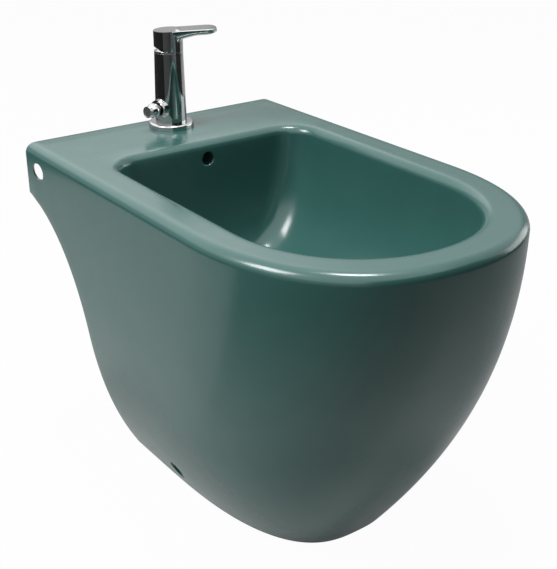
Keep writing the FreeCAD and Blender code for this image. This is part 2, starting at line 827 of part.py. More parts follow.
def outlet_housing():
    mouth_radius = aerator_diameter / 2 + thread_gap
    nozzle_radius = outlet_nozzle_diameter / 2
    bore_radius = aerator_seat_diameter / 2
    aerator_seat = outlet_nozzle_reach - aerator_height - assembly_gap
    nozzle_start = math.sqrt(outlet_ball_diameter ** 2 / 4 - nozzle_radius ** 2)
    cavity_end = math.sqrt(outlet_cavity ** 2 / 4 - bore_radius ** 2)
    outside = outlet_arc(outlet_ball_diameter, -outlet_split, nozzle_start)
    inside = outlet_arc(outlet_cavity, -outlet_split, cavity_end)
    corners = [outlet_point(nozzle_start, nozzle_radius), outlet_point(outlet_nozzle_reach, nozzle_radius),
               outlet_point(outlet_nozzle_reach, mouth_radius), outlet_point(aerator_seat, mouth_radius),
               outlet_point(aerator_seat, bore_radius), outlet_point(cavity_end, bore_radius)]
    edges = [line(start, end) for start, end in zip(corners[:-1], corners[1:])]
    split = line(outside.Vertexes[0].Point, inside.Vertexes[0].Point)
    face = Part.Face(Part.Wire(Part.__sortEdges__(edges + [outside, inside, split])))
    return face.revolve(Vector(0, 0, spout_height), Vector(1, 0, 0), 360)


def outlet_retainer():
    """Rear ring of the outlet's ball, seated behind the fixed ball, with a cone that clears its neck."""
    rear = swivel_pivot - outlet_rear
    ring = outlet_sphere(outlet_ball_diameter).common(slab_x(rear, swivel_pivot - outlet_split))
    swing = math.radians(swivel_tilt)

    def opening(back):
        return swivel_neck_diameter / 2 / math.cos(swing) + back * math.tan(swing) + neck_gap

    mouth = Part.makeCone(opening(outlet_rear), opening(0.0), outlet_rear,
                          Vector(rear, 0, spout_height), Vector(1, 0, 0))
    return ring.cut([mouth, outlet_sphere(swivel_ball_diameter + 2 * running_gap)])


def aerator_insert():
    high = swivel_pivot + outlet_nozzle_reach - assembly_gap
    insert = rod_x(aerator_diameter, high - aerator_height, high, spout_height)
    jets = []
    for radius, count in aerator_rings:
        for step in range(count):
            angle = 2 * math.pi * step / count
            jets.append(rod_x(aerator_hole_diameter, high - aerator_height, high,
                              spout_height + radius * math.sin(angle), radius * math.cos(angle)))
    return insert.cut(jets)


# Waste

waste_flange_low = waste_seat_z + flange_seal_height
waste_flange_top = waste_flange_low + waste_flange_height
waste_neck_low = bowl_floor_z - bowl_wall - waste_neck_length
plug_cap_low = waste_flange_top + assembly_gap + plug_travel + plug_seal_height
bridge_top = waste_flange_top - bridge_drop


def waste_body():
    tail = waste_seat_z - waste_tail_length
    flange = cylinder(waste_flange_diameter, waste_flange_low, waste_flange_top)
    solid = flange.fuse(cylinder(waste_thread_diameter, tail, waste_flange_top))
    solid = solid.cut(cylinder(waste_bore_diameter, tail, waste_flange_top))
    bridge_low = bridge_top - bridge_height
    half = waste_bore_diameter / 2 + overlap
    bridge = box(-half, half, -bridge_width / 2, bridge_width / 2, bridge_low, bridge_top)
    hub = cylinder(bridge_hub_diameter, bridge_low, bridge_top)
    sleeve_hole = cylinder(plug_sleeve_diameter + 2 * thread_gap, bridge_low, bridge_top)
    solid = solid.fuse([bridge, hub]).cut(sleeve_hole)
    window_top = bowl_floor_z - bowl_wall - assembly_gap
    half_window = waste_window_width / 2
    window = box(-half_window, half_window, -waste_thread_diameter, waste_thread_diameter,
                 window_top - waste_window_height, window_top)
    window = window.cut(cylinder(waste_bore_diameter - overlap, window_top - waste_window_height, window_top))
    groove_low = tail + trap_thread_length
    groove_high = groove_low + trap_groove_height
    groove_floor = waste_thread_diameter - 2 * trap_groove_depth
    groove = tube(waste_flange_diameter, groove_floor, groove_low, groove_high)
    return solid.cut([window, groove])


def flange_seal():
    return tube(flange_seal_diameter, waste_thread_diameter + 2 * assembly_gap,
                waste_seat_z, waste_flange_low)


def waste_washer():
    outer = waste_hole_diameter + 2 * waste_neck_wall
    inner = waste_thread_diameter + 2 * assembly_gap
    return tube(outer, inner, waste_neck_low - waste_washer_height, waste_neck_low)


def waste_backnut():
    high = waste_neck_low - waste_washer_height
    nut = hexagon(backnut_across_flats, high - backnut_height, high)
    return nut.cut(cylinder(waste_thread_diameter + 2 * thread_gap, high - backnut_height, high))


def plug_sleeve():
    low = bridge_top - plug_sleeve_length
    high = bridge_top + plug_sleeve_collar_height
    bore = plug_plunger_diameter + 2 * running_gap
    sleeve = cylinder(plug_sleeve_diameter, low, bridge_top)
    collar = cylinder(plug_sleeve_collar_diameter, bridge_top, high)
    return sleeve.fuse(collar).cut(cylinder(bore, low + plug_sleeve_floor, high))


def plug_plunger():
    return cylinder(plug_plunger_diameter, plug_cap_low - plug_plunger_length, plug_cap_low)


def plug_cap():
    radius = plug_cap_diameter / 2
    edge_top = plug_cap_low + plug_cap_edge
    crown = Vector(0, 0, edge_top + plug_cap_crown)
    sphere = (radius ** 2 + plug_cap_crown ** 2) / (2 * plug_cap_crown)
    half_angle = math.asin(radius / sphere) / 2
    centre_z = crown.z - sphere
    middle = Vector(sphere * math.sin(half_angle), 0, centre_z + sphere * math.cos(half_angle))
    low = Vector(0, 0, plug_cap_low)
    low_edge = Vector(radius, 0, plug_cap_low)
    high_edge = Vector(radius, 0, edge_top)
    edges = [line(low, low_edge), line(low_edge, high_edge), arc(high_edge, middle, crown), line(crown, low)]
    return turned(edges)


def plug_seal():
    return tube(plug_seal_diameter, plug_seal_diameter - 2 * plug_seal_width, plug_cap_low - plug_seal_height,
                plug_cap_low)


pieces = {
    "ceramic_body": ceramic_body(),
    "base_ring": on_tap(base_ring(), spout_angle),
    "base_gasket": on_tap(base_gasket(), spout_angle),
    "tap_body": on_tap(tap_body(), spout_angle),
    "mounting_stud": on_tap(mounting_stud(), spout_angle),
    "clamp_washer": on_tap(clamp_washer(), spout_angle),
    "clamp_plate": on_tap(clamp_plate(), spout_angle),
    "clamp_nut": on_tap(clamp_nut(), spout_angle),
    "cartridge_base": on_tap(cartridge_base(), spout_angle),
    "port_seals": on_tap(port_seals(), spout_angle),
    "cartridge_housing": on_tap(cartridge_housing(), spout_angle),
    "fixed_disc": on_tap(fixed_disc(), spout_angle),
    "moving_disc": on_tap(moving_disc(), lever_angle),
    "disc_carrier": on_tap(disc_carrier(), lever_angle),
    "spindle_carrier": on_tap(spindle_carrier(), lever_angle),
    "stem_pin": on_tap(stem_pin(), lever_angle),
    "lever_stem": on_tap(lever_stem(), lever_angle),
    "cartridge_nut": on_tap(cartridge_nut(), spout_angle),
    "dome_cover": on_tap(dome_cover(), spout_angle),
    "lever_handle": on_tap(lever_handle(), lever_angle),
    "lever_screw": on_tap(lever_screw(), lever_angle),
    "swivel_gasket": on_tap(swivel_gasket(), spout_angle),
    "swivel_base": on_tap(swivel_base(), spout_angle),
    "cup_washer": on_tap(cup_washer(), spout_angle),
    "outlet_housing": on_tap(outlet_housing(), spout_angle),
    "outlet_retainer": on_tap(outlet_retainer(), spout_angle),
    "aerator_insert": on_tap(aerator_insert(), spout_angle),
    "waste_body": on_waste(waste_body()),
    "flange_seal": on_waste(flange_seal()),
    "waste_washer": on_waste(waste_washer()),
    "waste_backnut": on_waste(waste_backnut()),
    "plug_sleeve": on_waste(plug_sleeve()),
    "plug_plunger": on_waste(plug_plunger()),
    "plug_cap": on_waste(plug_cap()),
    "plug_seal": on_waste(plug_seal()),
}

os.makedirs("parts", exist_ok=True)
for name, shape in pieces.items():
    shape.exportStep("parts/" + name + ".step")
    print(name, "valid" if shape.isValid() else "INVALID", len(shape.Solids), round(shape.Volume))
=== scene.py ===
import logging
import math
from dataclasses import dataclass, field
from enum import Enum
from typing import Iterable, Sequence

import bmesh
import bpy
from mathutils import Matrix, Vector


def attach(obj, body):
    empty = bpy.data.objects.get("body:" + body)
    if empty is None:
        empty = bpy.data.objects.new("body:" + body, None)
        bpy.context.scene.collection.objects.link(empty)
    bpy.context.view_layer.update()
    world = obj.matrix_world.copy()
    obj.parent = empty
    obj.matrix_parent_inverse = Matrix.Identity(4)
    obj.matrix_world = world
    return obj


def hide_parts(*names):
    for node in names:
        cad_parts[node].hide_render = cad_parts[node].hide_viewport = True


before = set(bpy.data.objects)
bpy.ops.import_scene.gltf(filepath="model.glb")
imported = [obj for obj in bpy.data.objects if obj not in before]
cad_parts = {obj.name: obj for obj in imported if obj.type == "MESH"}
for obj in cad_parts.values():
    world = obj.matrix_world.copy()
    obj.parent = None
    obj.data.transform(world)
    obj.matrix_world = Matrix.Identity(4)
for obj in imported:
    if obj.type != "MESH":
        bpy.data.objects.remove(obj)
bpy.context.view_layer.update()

# Floor-standing bidet with a single-lever mixer tap and a push-down waste. Metres.

# The photograph's frame in pixels
IMAGE_WIDTH = 557
IMAGE_HEIGHT = 569

# Working tolerances, faces across a rounded edge, and weight of large faces in the shading
MERGE_DISTANCE = 2e-6
FLAT_ANGLE = math.radians(0.3)
SHARP_ANGLE = math.radians(34.0)
EDGE_SEGMENTS = 2
FLAT_WEIGHT = 60

Triple = tuple[float, float, float]
Pair = tuple[float, float]

log = logging.getLogger("bidet")


class Body(str, Enum):
    """Moving bodies of the bidet."""

    BIDET = "bidet"
    SPINDLE = "spindle"
    LEVER = "lever"
    DISC = "disc"
    OUTLET_CUP = "outlet_cup"
    OUTLET = "outlet"
    PLUG = "plug"


class Slot(str, Enum):
    """Material slots of the record."""

    GLAZE = "glaze"
    CHROME = "chrome"
    STEEL = "steel"
    BRASS = "brass"
    RUBBER = "rubber"
    PLASTIC = "plastic"
    DISC_CERAMIC = "disc_ceramic"


# Arithmetic

def blend(first: float, second: float, share: float) -> float:
    """Value that lies at a share of the way from one number to another."""
    return first + (second - first) * share


def share_of(value: float, low: float, high: float) -> float:
    """Share of a range that lies below a value, from 0 to 1."""
    return min(max((value - low) / (high - low), 0.0), 1.0)


def quarter_turn(steps: int) -> list[float]:
    """Angles from 0 to 90 degrees in even steps, in radians."""
    return [math.pi / 2 * step / steps for step in range(steps + 1)]


# Materials

def map_range(tree: bpy.types.NodeTree, value: bpy.types.NodeSocket, source: Pair,
              result: Pair) -> bpy.types.ShaderNodeMapRange:
    """Adds a node that carries a value from one range over to another.

    Args:
        tree: Node tree that gets the node.
        value: Socket with the value.
        source: Range of the value.
        result: Range of the result.

    Returns:
        The node.
    """
    node = tree.nodes.new("ShaderNodeMapRange")
    node.inputs["From Min"].default_value, node.inputs["From Max"].default_value = source
    node.inputs["To Min"].default_value, node.inputs["To Max"].default_value = result
    tree.links.new(value, node.inputs["Value"])
    return node


def plain_material(name: str, colour: Triple, roughness: float) -> bpy.types.Material:
    """Makes a material of one colour and one roughness.

    Args:
        name: Name of the material.
        colour: Linear red, green and blue.
        roughness: Roughness all over.

    Returns:
        The material.
    """
    made = bpy.data.materials.new(name)
    made.use_nodes = True
    shader = made.node_tree.nodes["Principled BSDF"]
    shader.inputs["Base Color"].default_value = (*colour, 1.0)
    shader.inputs["Roughness"].default_value = roughness
    return made


def mix_shaders(tree: bpy.types.NodeTree, share: bpy.types.NodeSocket, first: bpy.types.NodeSocket,
                second: bpy.types.NodeSocket) -> None:
    """Sends a mix of two shaders to a material's output.

    Args:
        tree: Node tree of the material.
        share: Socket with the share of the second shader.
        first: The first shader.
        second: The second shader.
    """
    mix = tree.nodes.new("ShaderNodeMixShader")
    tree.links.new(share, mix.inputs["Fac"])
    tree.links.new(first, mix.inputs[1])
    tree.links.new(second, mix.inputs[2])
    tree.links.new(mix.outputs["Shader"], tree.nodes["Material Output"].inputs["Surface"])


@dataclass(frozen=True)
class Finish:
    """A surface with two close tones, uneven gloss and a fine relief.

    Attributes:
        name: Name of the material.
        dark: Darker tone as linear red, green and blue.
        light: Lighter tone as linear red, green and blue.
        tone_scale: Patches of tone per metre.
        metallic: Share of metal, 0 or 1.
        roughness: Lowest and highest roughness.
        gloss_scale: Patches of gloss per metre.
        relief_scale: Bumps per metre.
        relief_height: Height of the bumps in metres.
        relief_detail: Octaves of the relief.
        ior: Index of refraction.
        stretch: Scale of the relief along X, Y and Z, to draw it out into lines.
    """

    name: str
    dark: Triple
    light: Triple
    tone_scale: float
    metallic: float
    roughness: Pair
    gloss_scale: float
    relief_scale: float
    relief_height: float
    relief_detail: float = 2.0
    ior: float = 1.5
    stretch: Triple = (1.0, 1.0, 1.0)

    NOISE_SPAN = (0.3, 0.7)
    TONE_DETAIL = 4.0
    GLOSS_DETAIL = 3.0

    def material(self) -> bpy.types.Material:
        """Builds the node material, or finds it if it is already there.

        Returns:
            The material with its nodes.
        """
        found = bpy.data.materials.get(self.name)
        if found is not None:
            return found
        made = bpy.data.materials.new(self.name)
        made.use_nodes = True
        tree = made.node_tree
        shader = tree.nodes["Principled BSDF"]
        shader.inputs["Metallic"].default_value = self.metallic
        shader.inputs["IOR"].default_value = self.ior
        place = tree.nodes.new("ShaderNodeTexCoord").outputs["Object"]
        colour = tree.nodes.new("ShaderNodeValToRGB")
        for stop, position, tone in zip(colour.color_ramp.elements, self.NOISE_SPAN, (self.dark, self.light)):
            stop.position = position
            stop.color = (*tone, 1.0)
        tree.links.new(self._noise(tree, place, self.tone_scale, self.TONE_DETAIL), colour.inputs["Fac"])
        tree.links.new(colour.outputs["Color"], shader.inputs["Base Color"])
        patches = self._noise(tree, place, self.gloss_scale, self.GLOSS_DETAIL)
        gloss = map_range(tree, patches, self.NOISE_SPAN, self.roughness)
        tree.links.new(gloss.outputs["Result"], shader.inputs["Roughness"])
        drawn = tree.nodes.new("ShaderNodeMapping")
        drawn.inputs["Scale"].default_value = self.stretch
        tree.links.new(place, drawn.inputs["Vector"])
        bump = tree.nodes.new("ShaderNodeBump")
        bump.inputs["Strength"].default_value = 1.0
        bump.inputs["Distance"].default_value = self.relief_height
        relief = self._noise(tree, drawn.outputs["Vector"], self.relief_scale, self.relief_detail)
        tree.links.new(relief, bump.inputs["Height"])
        tree.links.new(bump.outputs["Normal"], shader.inputs["Normal"])
        return made

    @staticmethod
    def _noise(tree: bpy.types.NodeTree, place: bpy.types.NodeSocket, scale: float,
               detail: float) -> bpy.types.NodeSocket:
        """Adds a noise texture.

        Args:
            tree: Node tree that gets the texture.
            place: Socket with the place on the piece.
            scale: Patches per metre.
            detail: Octaves of the noise.

        Returns:
            The socket with the noise's value.
        """
        noise = tree.nodes.new("ShaderNodeTexNoise")
        noise.inputs["Scale"].default_value = scale
        noise.inputs["Detail"].default_value = detail
        tree.links.new(place, noise.inputs["Vector"])
        return noise.outputs["Fac"]


FINISHES: dict[Slot, Finish] = {
    Slot.GLAZE: Finish(
        "sage_glaze", dark=(0.034, 0.110, 0.099), light=(0.038, 0.119, 0.107), tone_scale=14.0, metallic=0.0,
        roughness=(0.19, 0.23), gloss_scale=40.0, relief_scale=30.0, relief_height=0.00005, relief_detail=0.0,
        ior=1.52),
    Slot.CHROME: Finish(
        "polished_chrome", dark=(0.44, 0.445, 0.45), light=(0.48, 0.485, 0.49), tone_scale=120.0,
        metallic=1.0, roughness=(0.04, 0.075), gloss_scale=260.0, relief_scale=200.0, relief_height=0.000004,
        relief_detail=0.0),
    Slot.STEEL: Finish(
        "zinc_plated_steel", dark=(0.42, 0.42, 0.44), light=(0.55, 0.55, 0.56), tone_scale=160.0,
        metallic=1.0, roughness=(0.28, 0.42), gloss_scale=500.0, relief_scale=900.0, relief_height=0.00001,
        stretch=(1.0, 1.0, 6.0)),
    Slot.BRASS: Finish(
        "machined_brass", dark=(0.50, 0.34, 0.12), light=(0.62, 0.44, 0.18), tone_scale=90.0, metallic=1.0,
        roughness=(0.22, 0.36), gloss_scale=400.0, relief_scale=900.0, relief_height=0.00001,
        stretch=(0.4, 0.4, 8.0)),
    Slot.RUBBER: Finish(
        "black_rubber", dark=(0.012, 0.012, 0.012), light=(0.022, 0.022, 0.021), tone_scale=220.0,
        metallic=0.0, roughness=(0.62, 0.78), gloss_scale=300.0, relief_scale=1500.0, relief_height=0.00003),
    Slot.PLASTIC: Finish(
        "off_white_plastic", dark=(0.60, 0.60, 0.56), light=(0.68, 0.68, 0.64), tone_scale=80.0, metallic=0.0,
        roughness=(0.38, 0.50), gloss_scale=240.0, relief_scale=1200.0, relief_height=0.00001),
    Slot.DISC_CERAMIC: Finish(
        "lapped_ceramic", dark=(0.74, 0.72, 0.68), light=(0.80, 0.79, 0.75), tone_scale=150.0, metallic=0.0,
        roughness=(0.16, 0.26), gloss_scale=300.0, relief_scale=1400.0, relief_height=0.000005),
}

AERATOR_FINISH = Finish(
    "grey_plastic", dark=(0.075, 0.078, 0.080), light=(0.105, 0.108, 0.110), tone_scale=300.0, metallic=0.0,
    roughness=(0.32, 0.44), gloss_scale=500.0, relief_scale=1500.0, relief_height=0.00001)


# Mesh tools

def new_object(name: str, work: bmesh.types.BMesh) -> bpy.types.Object:
    """Turns a bmesh into an object of the scene and frees the bmesh.

    Args:
        name: Name of the object and of its mesh.
        work: The finished bmesh.

    Returns:
        The new object at the origin.
    """
    mesh = bpy.data.meshes.new(name)
    work.to_mesh(mesh)
    work.free()
    made = bpy.data.objects.new(name, mesh)
    bpy.context.scene.collection.objects.link(made)
    return made


def smooth(piece: bpy.types.Object) -> None:
    """Shades a piece smooth, apart from its sharp edges."""
    piece.data.shade_smooth()
    piece.data.set_sharp_from_angle(angle=SHARP_ANGLE)


def even_normals(piece: bpy.types.Object) -> None:
    """Lets large faces rule the shading, so that flats stay flat beside rounded edges.

    Args:
        piece: Object that gets the modifier.
    """
    modifier = piece.modifiers.new("even_normals", "WEIGHTED_NORMAL")
    modifier.keep_sharp = True
    modifier.weight = FLAT_WEIGHT


def rounded_copy(node: str, rounding: float) -> bpy.types.Object:
    """Copies a CAD node, closes its seams and rounds its sharp edges.

    Args:
        node: Name of the CAD node.
        rounding: Width of the rounded edges, 0 for none.

    Returns:
        The copy as a new object.
    """
    work = bmesh.new()
    work.from_mesh(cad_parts[node].data)
    bmesh.ops.remove_doubles(work, verts=work.verts, dist=MERGE_DISTANCE)
    bmesh.ops.dissolve_limit(work, angle_limit=FLAT_ANGLE, verts=work.verts, edges=work.edges)
    if rounding > 0.0:
        sharp = [edge for edge in work.edges if edge.is_manifold and edge.calc_face_angle() > SHARP_ANGLE]
        bmesh.ops.bevel(work, geom=sharp, offset=rounding, offset_type="OFFSET", segments=EDGE_SEGMENTS,
                        profile=0.5, affect="EDGES", clamp_overlap=True, material=-1)
    made = new_object(node + "_finished", work)
    smooth(made)
    return made


def boolean(target: bpy.types.Object, tool: bpy.types.Object, operation: str) -> None:
    """Changes a mesh by another one and removes the tool.

    Args:
        target: Object whose mesh changes.
        tool: Object that is cut away or joined.
        operation: DIFFERENCE or UNION.
    """
    modifier = target.modifiers.new("shape", "BOOLEAN")
    modifier.operation = operation
    modifier.solver = "EXACT"
    modifier.object = tool
    graph = bpy.context.evaluated_depsgraph_get()
    result = bpy.data.meshes.new_from_object(target.evaluated_get(graph))
    target.modifiers.clear()
    target.data = result
    bpy.data.objects.remove(tool)


def mend_seams(piece: bpy.types.Object) -> None:
    """Closes the seams that cutting and joining leave, and splits faces with many corners into triangles.

    Args:
        piece: Object whose mesh is mended.
    """
    work = bmesh.new()
    work.from_mesh(piece.data)
    bmesh.ops.remove_doubles(work, verts=work.verts, dist=MERGE_DISTANCE)
    bmesh.ops.dissolve_degenerate(work, dist=MERGE_DISTANCE, edges=work.edges)
    bmesh.ops.connect_verts_concave(work, faces=work.faces)
    large = [face for face in work.faces if len(face.verts) > 4]
    bmesh.ops.triangulate(work, faces=large, quad_method="BEAUTY", ngon_method="BEAUTY")
    bmesh.ops.dissolve_degenerate(work, dist=MERGE_DISTANCE, edges=work.edges)
    work.to_mesh(piece.data)
    work.free()


def dress(piece: bpy.types.Object, slot: Slot, body: Body, node: str, finish: Finish | None = None) -> None:
    """Gives a piece its finish and its place among the bodies.

    Args:
        piece: Object that is finished.
        slot: Material slot of the record.
        body: Body that the piece moves with.
        node: CAD node that the piece stands for.
        finish: Finish of its own in place of the slot's.
    """
    piece.data.materials.clear()
    piece.data.materials.append((finish or FINISHES[slot]).material())
    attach(piece, body.value)
    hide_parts(node)
    log.info("%s: %d faces", piece.name, len(piece.data.polygons))


# Ceramic body

@dataclass
class Outline:
    """A level outline with a straight back, rounded rear corners, straight sides and a curved front.

    Attributes:
        half_width: Half of the width.
        rear: Y of the back.
        corner: Radius of the rear corners.
        straight: Y where the sides begin to curve.
        front: Y of the front.
        exponent: Fullness of the front's superellipse.
        height: Z of the outline.
    """

    half_width: float
    rear: float
    corner: float
    straight: float
    front: float
    exponent: float
    height: float

    BACK_STEPS = 12
    CORNER_STEPS = 8
    SIDE_STEPS = 16
    FRONT_STEPS = 34

    def half(self) -> list[Vector]:
        """Points from the middle of the back round the right side to the middle of the front.

        Returns:
            The points, both middles among them.
        """
        points = []
        back = self.half_width - self.corner
        side = self.rear - self.corner
        for step in range(self.BACK_STEPS):
            points.append((back * step / self.BACK_STEPS, self.rear))
        for turn in quarter_turn(self.CORNER_STEPS)[:-1]:
            points.append((back + self.corner * math.sin(turn), side + self.corner * math.cos(turn)))
        for step in range(self.SIDE_STEPS):
            points.append((self.half_width, blend(side, self.straight, step / self.SIDE_STEPS)))
        points += [self._front_point(turn) for turn in quarter_turn(self.FRONT_STEPS)]
        return [Vector((x, y, self.height)) for x, y in points]

    def _front_point(self, turn: float) -> Pair:
        """Point of the front's superellipse.

        Args:
            turn: Angle from the side.

        Returns:
            X and Y of the point.
        """
        length = self.straight - self.front
        power = 2.0 / self.exponent
        across = self.half_width * max(math.cos(turn), 0.0) ** power
        along = length * math.sin(turn) ** power
        return across, self.straight - along

    def points(self) -> list[Vector]:
        """Points of the whole outline, beginning at the middle of the back.

        Returns:
            The points in order round the outline.
        """
        right = self.half()
        left = [Vector((-point.x, point.y, point.z)) for point in reversed(right[1:-1])]
        return right + left


@dataclass
class RingStack:
    """A closed skin that is drawn up ring by ring.

    Attributes:
        work: The bmesh that the skin grows in.
        ring: Vertices of the last ring.
    """

    work: bmesh.types.BMesh = field(default_factory=bmesh.new)
    ring: list[bmesh.types.BMVert] = field(default_factory=list)

    def add(self, points: Sequence[Vector]) -> None:
        """Begins the skin with a capped ring, or draws the last ring on to new points.

        Args:
            points: Points of the ring.
        """
        if not self.ring:
            made = bmesh.ops.create_circle(self.work, cap_ends=True, segments=len(points), radius=1.0)
            self.ring = list(made["verts"])
        else:
            made = bmesh.ops.extrude_edge_only(self.work, edges=self._ring_edges())
            fresh = {item for item in made["geom"] if isinstance(item, bmesh.types.BMVert)}
            self.ring = [self._partner(vert, fresh) for vert in self.ring]
        for vert, point in zip(self.ring, points):
            vert.co = point

    def close(self, name: str) -> bpy.types.Object:
        """Caps the last ring and makes the object.

        Args:
            name: Name of the object.

        Returns:
            The closed skin as an object.
        """
        bmesh.ops.edgeloop_fill(self.work, edges=self._ring_edges())
        bmesh.ops.recalc_face_normals(self.work, faces=self.work.faces)
        return new_object(name, self.work)

    def places(self) -> list[Vector]:
        """Points of the last ring."""
        return [vert.co.copy() for vert in self.ring]

    def _ring_edges(self) -> list[bmesh.types.BMEdge]:
        """Edges of the last ring."""
        return [self.work.edges.get((vert, self.ring[index - 1])) for index, vert in enumerate(self.ring)]

    @staticmethod
    def _partner(vert: bmesh.types.BMVert, fresh: set[bmesh.types.BMVert]) -> bmesh.types.BMVert:
        """New vertex that was drawn out of an old one."""
        return next(edge.other_vert(vert) for edge in vert.link_edges if edge.other_vert(vert) in fresh)


@dataclass
class CeramicBody:
    """The glazed casting: skirt, rim, bowl, ears, open back and open foot."""

    # Outside
    rim_width: float = 0.370
    rim_depth: float = 0.575
    rim_height: float = 0.400
    rim_front_length: float = 0.213
    rim_front_exponent: float = 2.25
    foot_width: float = 0.223
    foot_front_setback: float = 0.1465
    foot_front_length: float = 0.2545
    foot_front_exponent: float = 2.8
    side_swell: float = 3.3
    front_swell: float = 1.96
    foot_wall_gap: float = 0.110
    waist_wall_gap: float = 0.118
    waist_height: float = 0.185
    ear_height: float = 0.0625
    ear_edge: float = 0.0008
    skirt_wall: float = 0.010
    deck_thickness: float = 0.014
    rim_outer_round: float = 0.012
    back_round: float = 0.0025
    foot_round: float = 0.0015

    # Bowl
    bowl_side_rim: float = 0.048
    bowl_front_rim: float = 0.045
    bowl_deck: float = 0.126
    bowl_front_length: float = 0.145
    bowl_front_exponent: float = 2.11
    bowl_floor_exponent: float = 2.5
    bowl_corner_radius: float = 0.038
    bowl_depth: float = 0.165
    bowl_floor_radius: float = 0.038
    bowl_floor_corner: float = 0.034
    bowl_side_power: float = 2.2
    bowl_front_power: float = 2.0
    bowl_rear_power: float = 4.0
    bowl_wall: float = 0.009
    rim_inner_round: float = 0.011

    # Overflow with its duct, and the holes
    overflow_drop: float = 0.022
    overflow_diameter: float = 0.0165
    overflow_lip: float = 0.0016
    duct_depth: float = 0.012
    duct_width: float = 0.040
    duct_wall: float = 0.007
    ear_hole_diameter: float = 0.020
    ear_hole_wall_gap: float = 0.0325
    ear_hole_drop: float = 0.028
    ear_hole_angle: float = 42.0
    ear_hole_lip: float = 0.0008
    ear_pocket_wall: float = 0.003
    ear_pocket_height: float = 0.037
    ear_pocket_ahead: float = 0.014
    floor_hole_diameter: float = 0.022
    floor_hole_wall_gap: float = 0.242
    floor_hole_height: float = 0.034
    floor_hole_lip: float = 0.0014
    tap_hole_diameter: float = 0.035
    tap_hole_lip: float = 0.0015
    tap_wall_gap: float = 0.0405
    waste_hole_diameter: float = 0.046
    waste_seat_diameter: float = 0.067
    waste_seat_depth: float = 0.003
    waste_neck_wall: float = 0.010
    waste_neck_length: float = 0.030
    waste_wall_gap: float = 0.2425

    # How far cutting tools reach past the surface
    margin: float = 0.020
    overlap: float = 0.001

    SKIRT_RINGS = 44
    ROUND_RINGS = 10
    DECK_RINGS = 5
    BOWL_RINGS = 34
    DUCT_RINGS_LEFT_OUT = 3
    LIP_STEPS = 5
    HOLE_STEPS = 48

    @property
    def wall(self) -> float:
        """Y of the wall plane."""
        return self.rim_depth / 2

    @property
    def waste_y(self) -> float:
        """Y of the waste's axis."""
        return self.wall - self.waste_wall_gap

    def rear_profile(self, height: float) -> float:
        """Y of the open back at a height: foot, hollow waist and ears.

        Args:
            height: Height above the floor.

        Returns:
            The Y of the back's edge.
        """
        waist = self.wall - self.waist_wall_gap
        ear = self.rim_height - self.ear_height
        if height >= ear:
            return self.wall
        if height >= self.waist_height:
            across, rise = self.waist_wall_gap, ear - self.waist_height
        else:
            across, rise = self.waist_wall_gap - self.foot_wall_gap, self.waist_height
        radius = (across ** 2 + rise ** 2) / (2 * across)
        return waist + radius - math.sqrt(radius ** 2 - (height - self.waist_height) ** 2)

    def skirt(self, height: float, inset: float, rear: float, corner: float) -> Outline:
        """Outline of the skirt at a height.

        Args:
            height: Height above the floor, below it for a cutting tool.
            inset: Distance inside the outer skin.
            rear: Y of the back.
            corner: Radius of the rear corners.

        Returns:
            The outline.
        """
        share = height / self.rim_height
        side = 1.0 - (1.0 - share) ** self.side_swell
        forward = 1.0 - (1.0 - share) ** self.front_swell
        half_width = blend(self.foot_width, self.rim_width, side) / 2
        front = -self.wall + self.foot_front_setback * (1.0 - forward)
        length = blend(self.foot_front_length, self.rim_front_length, share)
        exponent = blend(self.foot_front_exponent, self.rim_front_exponent, share)
        return Outline(half_width - inset, rear, corner, front + length, front + inset, exponent, height)

    def bowl(self, share: float, offset: float, growth: float = 0.0) -> Outline:
        """Outline of the bowl at a share of its depth.

        Args:
            share: Share of the depth below the rim.
            offset: Distance outside the bowl's inner skin.
            growth: Extra width of this one outline.

        Returns:
            The outline.
        """
        def narrowing(power: float) -> float:
            """Share of the rim's reach that is left at this depth."""
            return max(1.0 - share ** power, 0.0) ** (1.0 / power)

        side, forward, back = [narrowing(power) for power in
                               (self.bowl_side_power, self.bowl_front_power, self.bowl_rear_power)]
        floor = self.bowl_floor_radius + offset
        rim_half = self.rim_width / 2 - self.bowl_side_rim + offset
        rim_rear = self.wall - self.bowl_deck + offset
        rim_front = -self.wall + self.bowl_front_rim - offset
        rim_straight = rim_front + self.bowl_front_length + offset
        return Outline(
            half_width=blend(floor, rim_half, side) + growth,
            rear=blend(self.waste_y + floor, rim_rear, back) + growth,
            corner=blend(self.bowl_floor_corner, self.bowl_corner_radius, side) + offset + growth,
            straight=blend(self.waste_y, rim_straight, forward),
            front=blend(self.waste_y - floor, rim_front, forward) - growth,
            exponent=blend(self.bowl_floor_exponent, self.bowl_front_exponent, forward),
            height=self.rim_height - share * (self.bowl_depth + offset),
        )

    def bowl_shares(self, first: float) -> list[float]:
        """Shares of the bowl's depth, close together where its wall turns into its floor.

        Args:
            first: First share.

        Returns:
            The shares up to 1.
        """
        start = math.asin(first ** (self.bowl_side_power / 2))
        turns = [blend(start, math.pi / 2, step / self.BOWL_RINGS) for step in range(self.BOWL_RINGS + 1)]
        return [math.sin(turn) ** (2 / self.bowl_side_power) for turn in turns]

    def circle(self, guide: Iterable[Vector], diameter: float, height: float) -> list[Vector]:
        """Circle about the waste's axis whose points face those of a guide ring.

        Args:
            guide: Points of the ring that the circle follows.
            diameter: Diameter of the circle.
            height: Z of the circle.

        Returns:
            The circle's points.
        """
        axis = Vector((0.0, self.waste_y, height))
        points = []
        for point in guide:
            outward = Vector((point.x, point.y - self.waste_y, 0.0)).normalized()
            points.append(axis + outward * diameter / 2)
        return points

